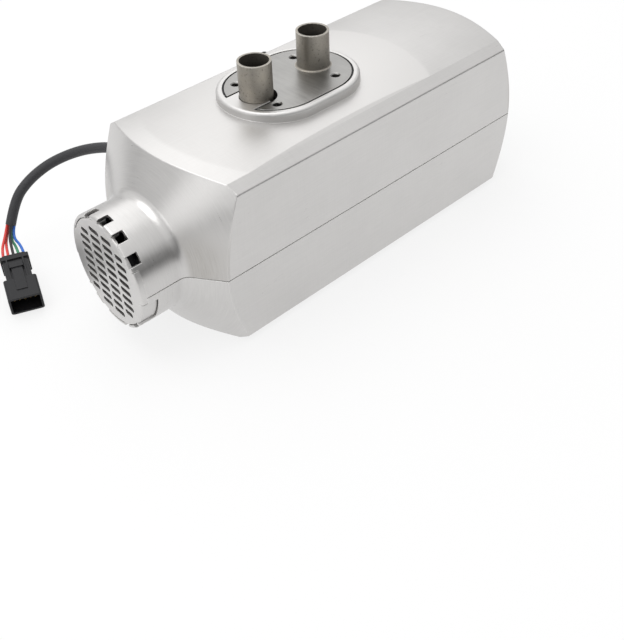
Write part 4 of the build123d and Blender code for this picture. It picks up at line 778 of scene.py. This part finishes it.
class HEATER_OT_flange(bpy.types.Operator):
    """Finish the mounting plate, both stubs and the rubber seals and grommets"""

    bl_idname = "heater.flange"
    bl_label = "Flange"

    def execute(self, context):
        colours = context.scene.heater_colours
        dress(["heat_exchanger"], plate_metal())
        # Both bores are darkened towards their depth by soot and painted shade.
        dress(["exhaust_stub"], stub_metal("exhaust_stub_blasted", EXHAUST_STUB, soot_and_shade_strength=0.75))
        dress(["air_elbow"], stub_metal("air_stub_blasted", AIR_STUB, soot_and_shade_strength=0.5))
        dress(["flange_seal", "fuel_grommet", "cable_gland", "control_dampers", "connector_seal"],
              moulded("seal_rubber", colours.rubber, rough=0.62, grain_scale=900.0, relief=0.3))
        return {"FINISHED"}


class HEATER_OT_connector(bpy.types.Operator):
    """Finish the loom's connector and its contacts"""

    bl_idname = "heater.connector"
    bl_label = "Connector"

    def execute(self, context):
        colours = context.scene.heater_colours
        dress(["connector_body"],
              moulded("connector_plastic", colours.plastic, rough=0.36, grain_scale=1400.0, relief=0.2,
                      edge_radius=0.0005))
        dress(["connector_terminals"], soft_metal("contact_brass", colours.brass))
        return {"FINISHED"}


class HEATER_OT_inside(bpy.types.Operator):
    """Finish what lies inside the casing"""

    bl_idname = "heater.inside"
    bl_label = "Inside"

    def execute(self, context):
        colours = context.scene.heater_colours
        dress(["burner_head", "blower_housing", "blower_cover"], inner_casting())
        dress(["combustion_chamber", "mixing_screen", "flame_tube"], heated_steel())
        dress(["glow_plug", "motor_can", "rotor_shaft", "fuel_tube", "sensor_strap"], turned_steel())
        dress(["head_screws", "blower_screws", "control_screws"], plated_screws())
        dress(["burner_gasket", "blower_gasket"], fibre_sheet())
        dress(["shaft_bushes"], soft_metal("bush_bronze", colours.bronze))
        dress(["field_magnets", "speed_magnet", "armature"],
              moulded("ferrite", colours.ferrite, rough=0.5, grain_scale=800.0, relief=0.3))
        dress(["control_case", "control_lid", "overheat_sensor"],
              moulded("control_plastic", colours.plastic, rough=0.48, grain_scale=900.0, relief=0.25))
        dress(["control_board"], circuit_board())
        dress(["loom_lead", "motor_lead", "glow_lead", "sensor_lead"],
              insulation("lead_insulation", colours.black))
        return {"FINISHED"}


class HEATER_OT_stage(bpy.types.Operator):
    """Lay the pale floor and hang the soft lamps"""

    bl_idname = "heater.stage"
    bl_label = "Stage"

    def execute(self, context):
        self.lay_floor(context)
        self.light_world(context)
        for lamp in LAMPS:
            self.hang_lamp(context, *lamp)
        return {"FINISHED"}

    def lay_floor(self, context):
        stage = context.scene.heater_stage
        half = stage.floor_size / 2
        mesh = bpy.data.meshes.new("floor")
        corners = [(-half, -half, 0.0), (half, -half, 0.0), (half, half, 0.0), (-half, half, 0.0)]
        mesh.from_pydata(corners, [], [(0, 1, 2, 3)])
        floor = bpy.data.objects.new("floor", mesh)
        floor.location.z = -FLOOR_GAP
        context.scene.collection.objects.link(floor)
        finish = Finish("floor_paper", stage.floor, NO_METAL, 0.9)
        camera, glossy, transmission = (
            finish.node("ShaderNodeLightPath", output=ray)
            for ray in ("Is Camera Ray", "Is Glossy Ray", "Is Transmission Ray")
        )
        white = finish.node("ShaderNodeEmission", {}, {"Color": (1.0, 1.0, 1.0, 1.0), "Strength": 1.0})
        share = (camera + glossy + transmission) * FLOOR_WHITE
        mixed = finish.node("ShaderNodeMixShader", {}, {0: share, 1: finish.surface, 2: white})
        finish.set_input(finish.end, "Surface", mixed)
        mesh.materials.append(finish.material)

    def light_world(self, context):
        """A plain sky that gets lighter with height"""
        world = bpy.data.worlds.new("studio")
        sky = NodeTree(world)
        place = sky.node("ShaderNodeTexCoord", output="Generated")
        level = sky.node("ShaderNodeMapRange", {}, {
            "Value": sky.dot(place, SKY_LEAN), "From Min": SKY_HEIGHT[0], "From Max": SKY_HEIGHT[1],
            "To Min": SKY_LEVEL[0], "To Max": SKY_LEVEL[1],
        })
        background = sky.node("ShaderNodeBackground", {}, {"Color": level})
        sky.node("ShaderNodeOutputWorld", {}, {"Surface": background})
        context.scene.world = world

    def hang_lamp(self, context, name, place, target, diameter, watts):
        data = bpy.data.lights.new(name, "AREA")
        data.shape = "DISK"
        data.size = diameter
        data.energy = watts
        lamp = bpy.data.objects.new(name, data)
        lamp.location = place
        aim = Vector(target) - Vector(place)
        lamp.rotation_euler = aim.to_track_quat("-Z", "Y").to_euler()
        context.scene.collection.objects.link(lamp)


class HEATER_PT_panel(bpy.types.Panel):
    """Lists the heater's pieces and what may be changed"""

    bl_label = "Heater"
    bl_idname = "HEATER_PT_panel"
    bl_space_type = "VIEW_3D"
    bl_region_type = "UI"
    bl_category = "Heater"

    def draw(self, context):
        for operator in PIECES:
            self.layout.operator(operator.bl_idname)
        for name, group in GROUPS.items():
            box = self.layout.box()
            for key in group.__annotations__:
                box.prop(getattr(context.scene, name), key)


PIECES = (
    HEATER_OT_camera,
    HEATER_OT_loom,
    HEATER_OT_casing,
    HEATER_OT_flange,
    HEATER_OT_connector,
    HEATER_OT_inside,
    HEATER_OT_stage,
)
GROUPS = {
    "heater_loom": HeaterLoomSizes,
    "heater_colours": HeaterColours,
    "heater_wear": HeaterWear,
    "heater_stage": HeaterStage,
}


def register():
    for name, group in GROUPS.items():
        bpy.utils.register_class(group)
        setattr(bpy.types.Scene, name, bpy.props.PointerProperty(type=group))
    for operator in PIECES:
        bpy.utils.register_class(operator)
    bpy.utils.register_class(HEATER_PT_panel)


def unregister():
    bpy.utils.unregister_class(HEATER_PT_panel)
    for operator in reversed(PIECES):
        bpy.utils.unregister_class(operator)
    for name, group in GROUPS.items():
        delattr(bpy.types.Scene, name)
        bpy.utils.unregister_class(group)


def main():
    register()
    bpy.context.scene.view_settings.view_transform = "Standard"
    bpy.ops.heater.camera()
    bpy.ops.heater.loom()
    bpy.ops.heater.casing()
    bpy.ops.heater.flange()
    bpy.ops.heater.connector()
    bpy.ops.heater.inside()
    bpy.ops.heater.stage()


if __name__ == "__main__":
    main()
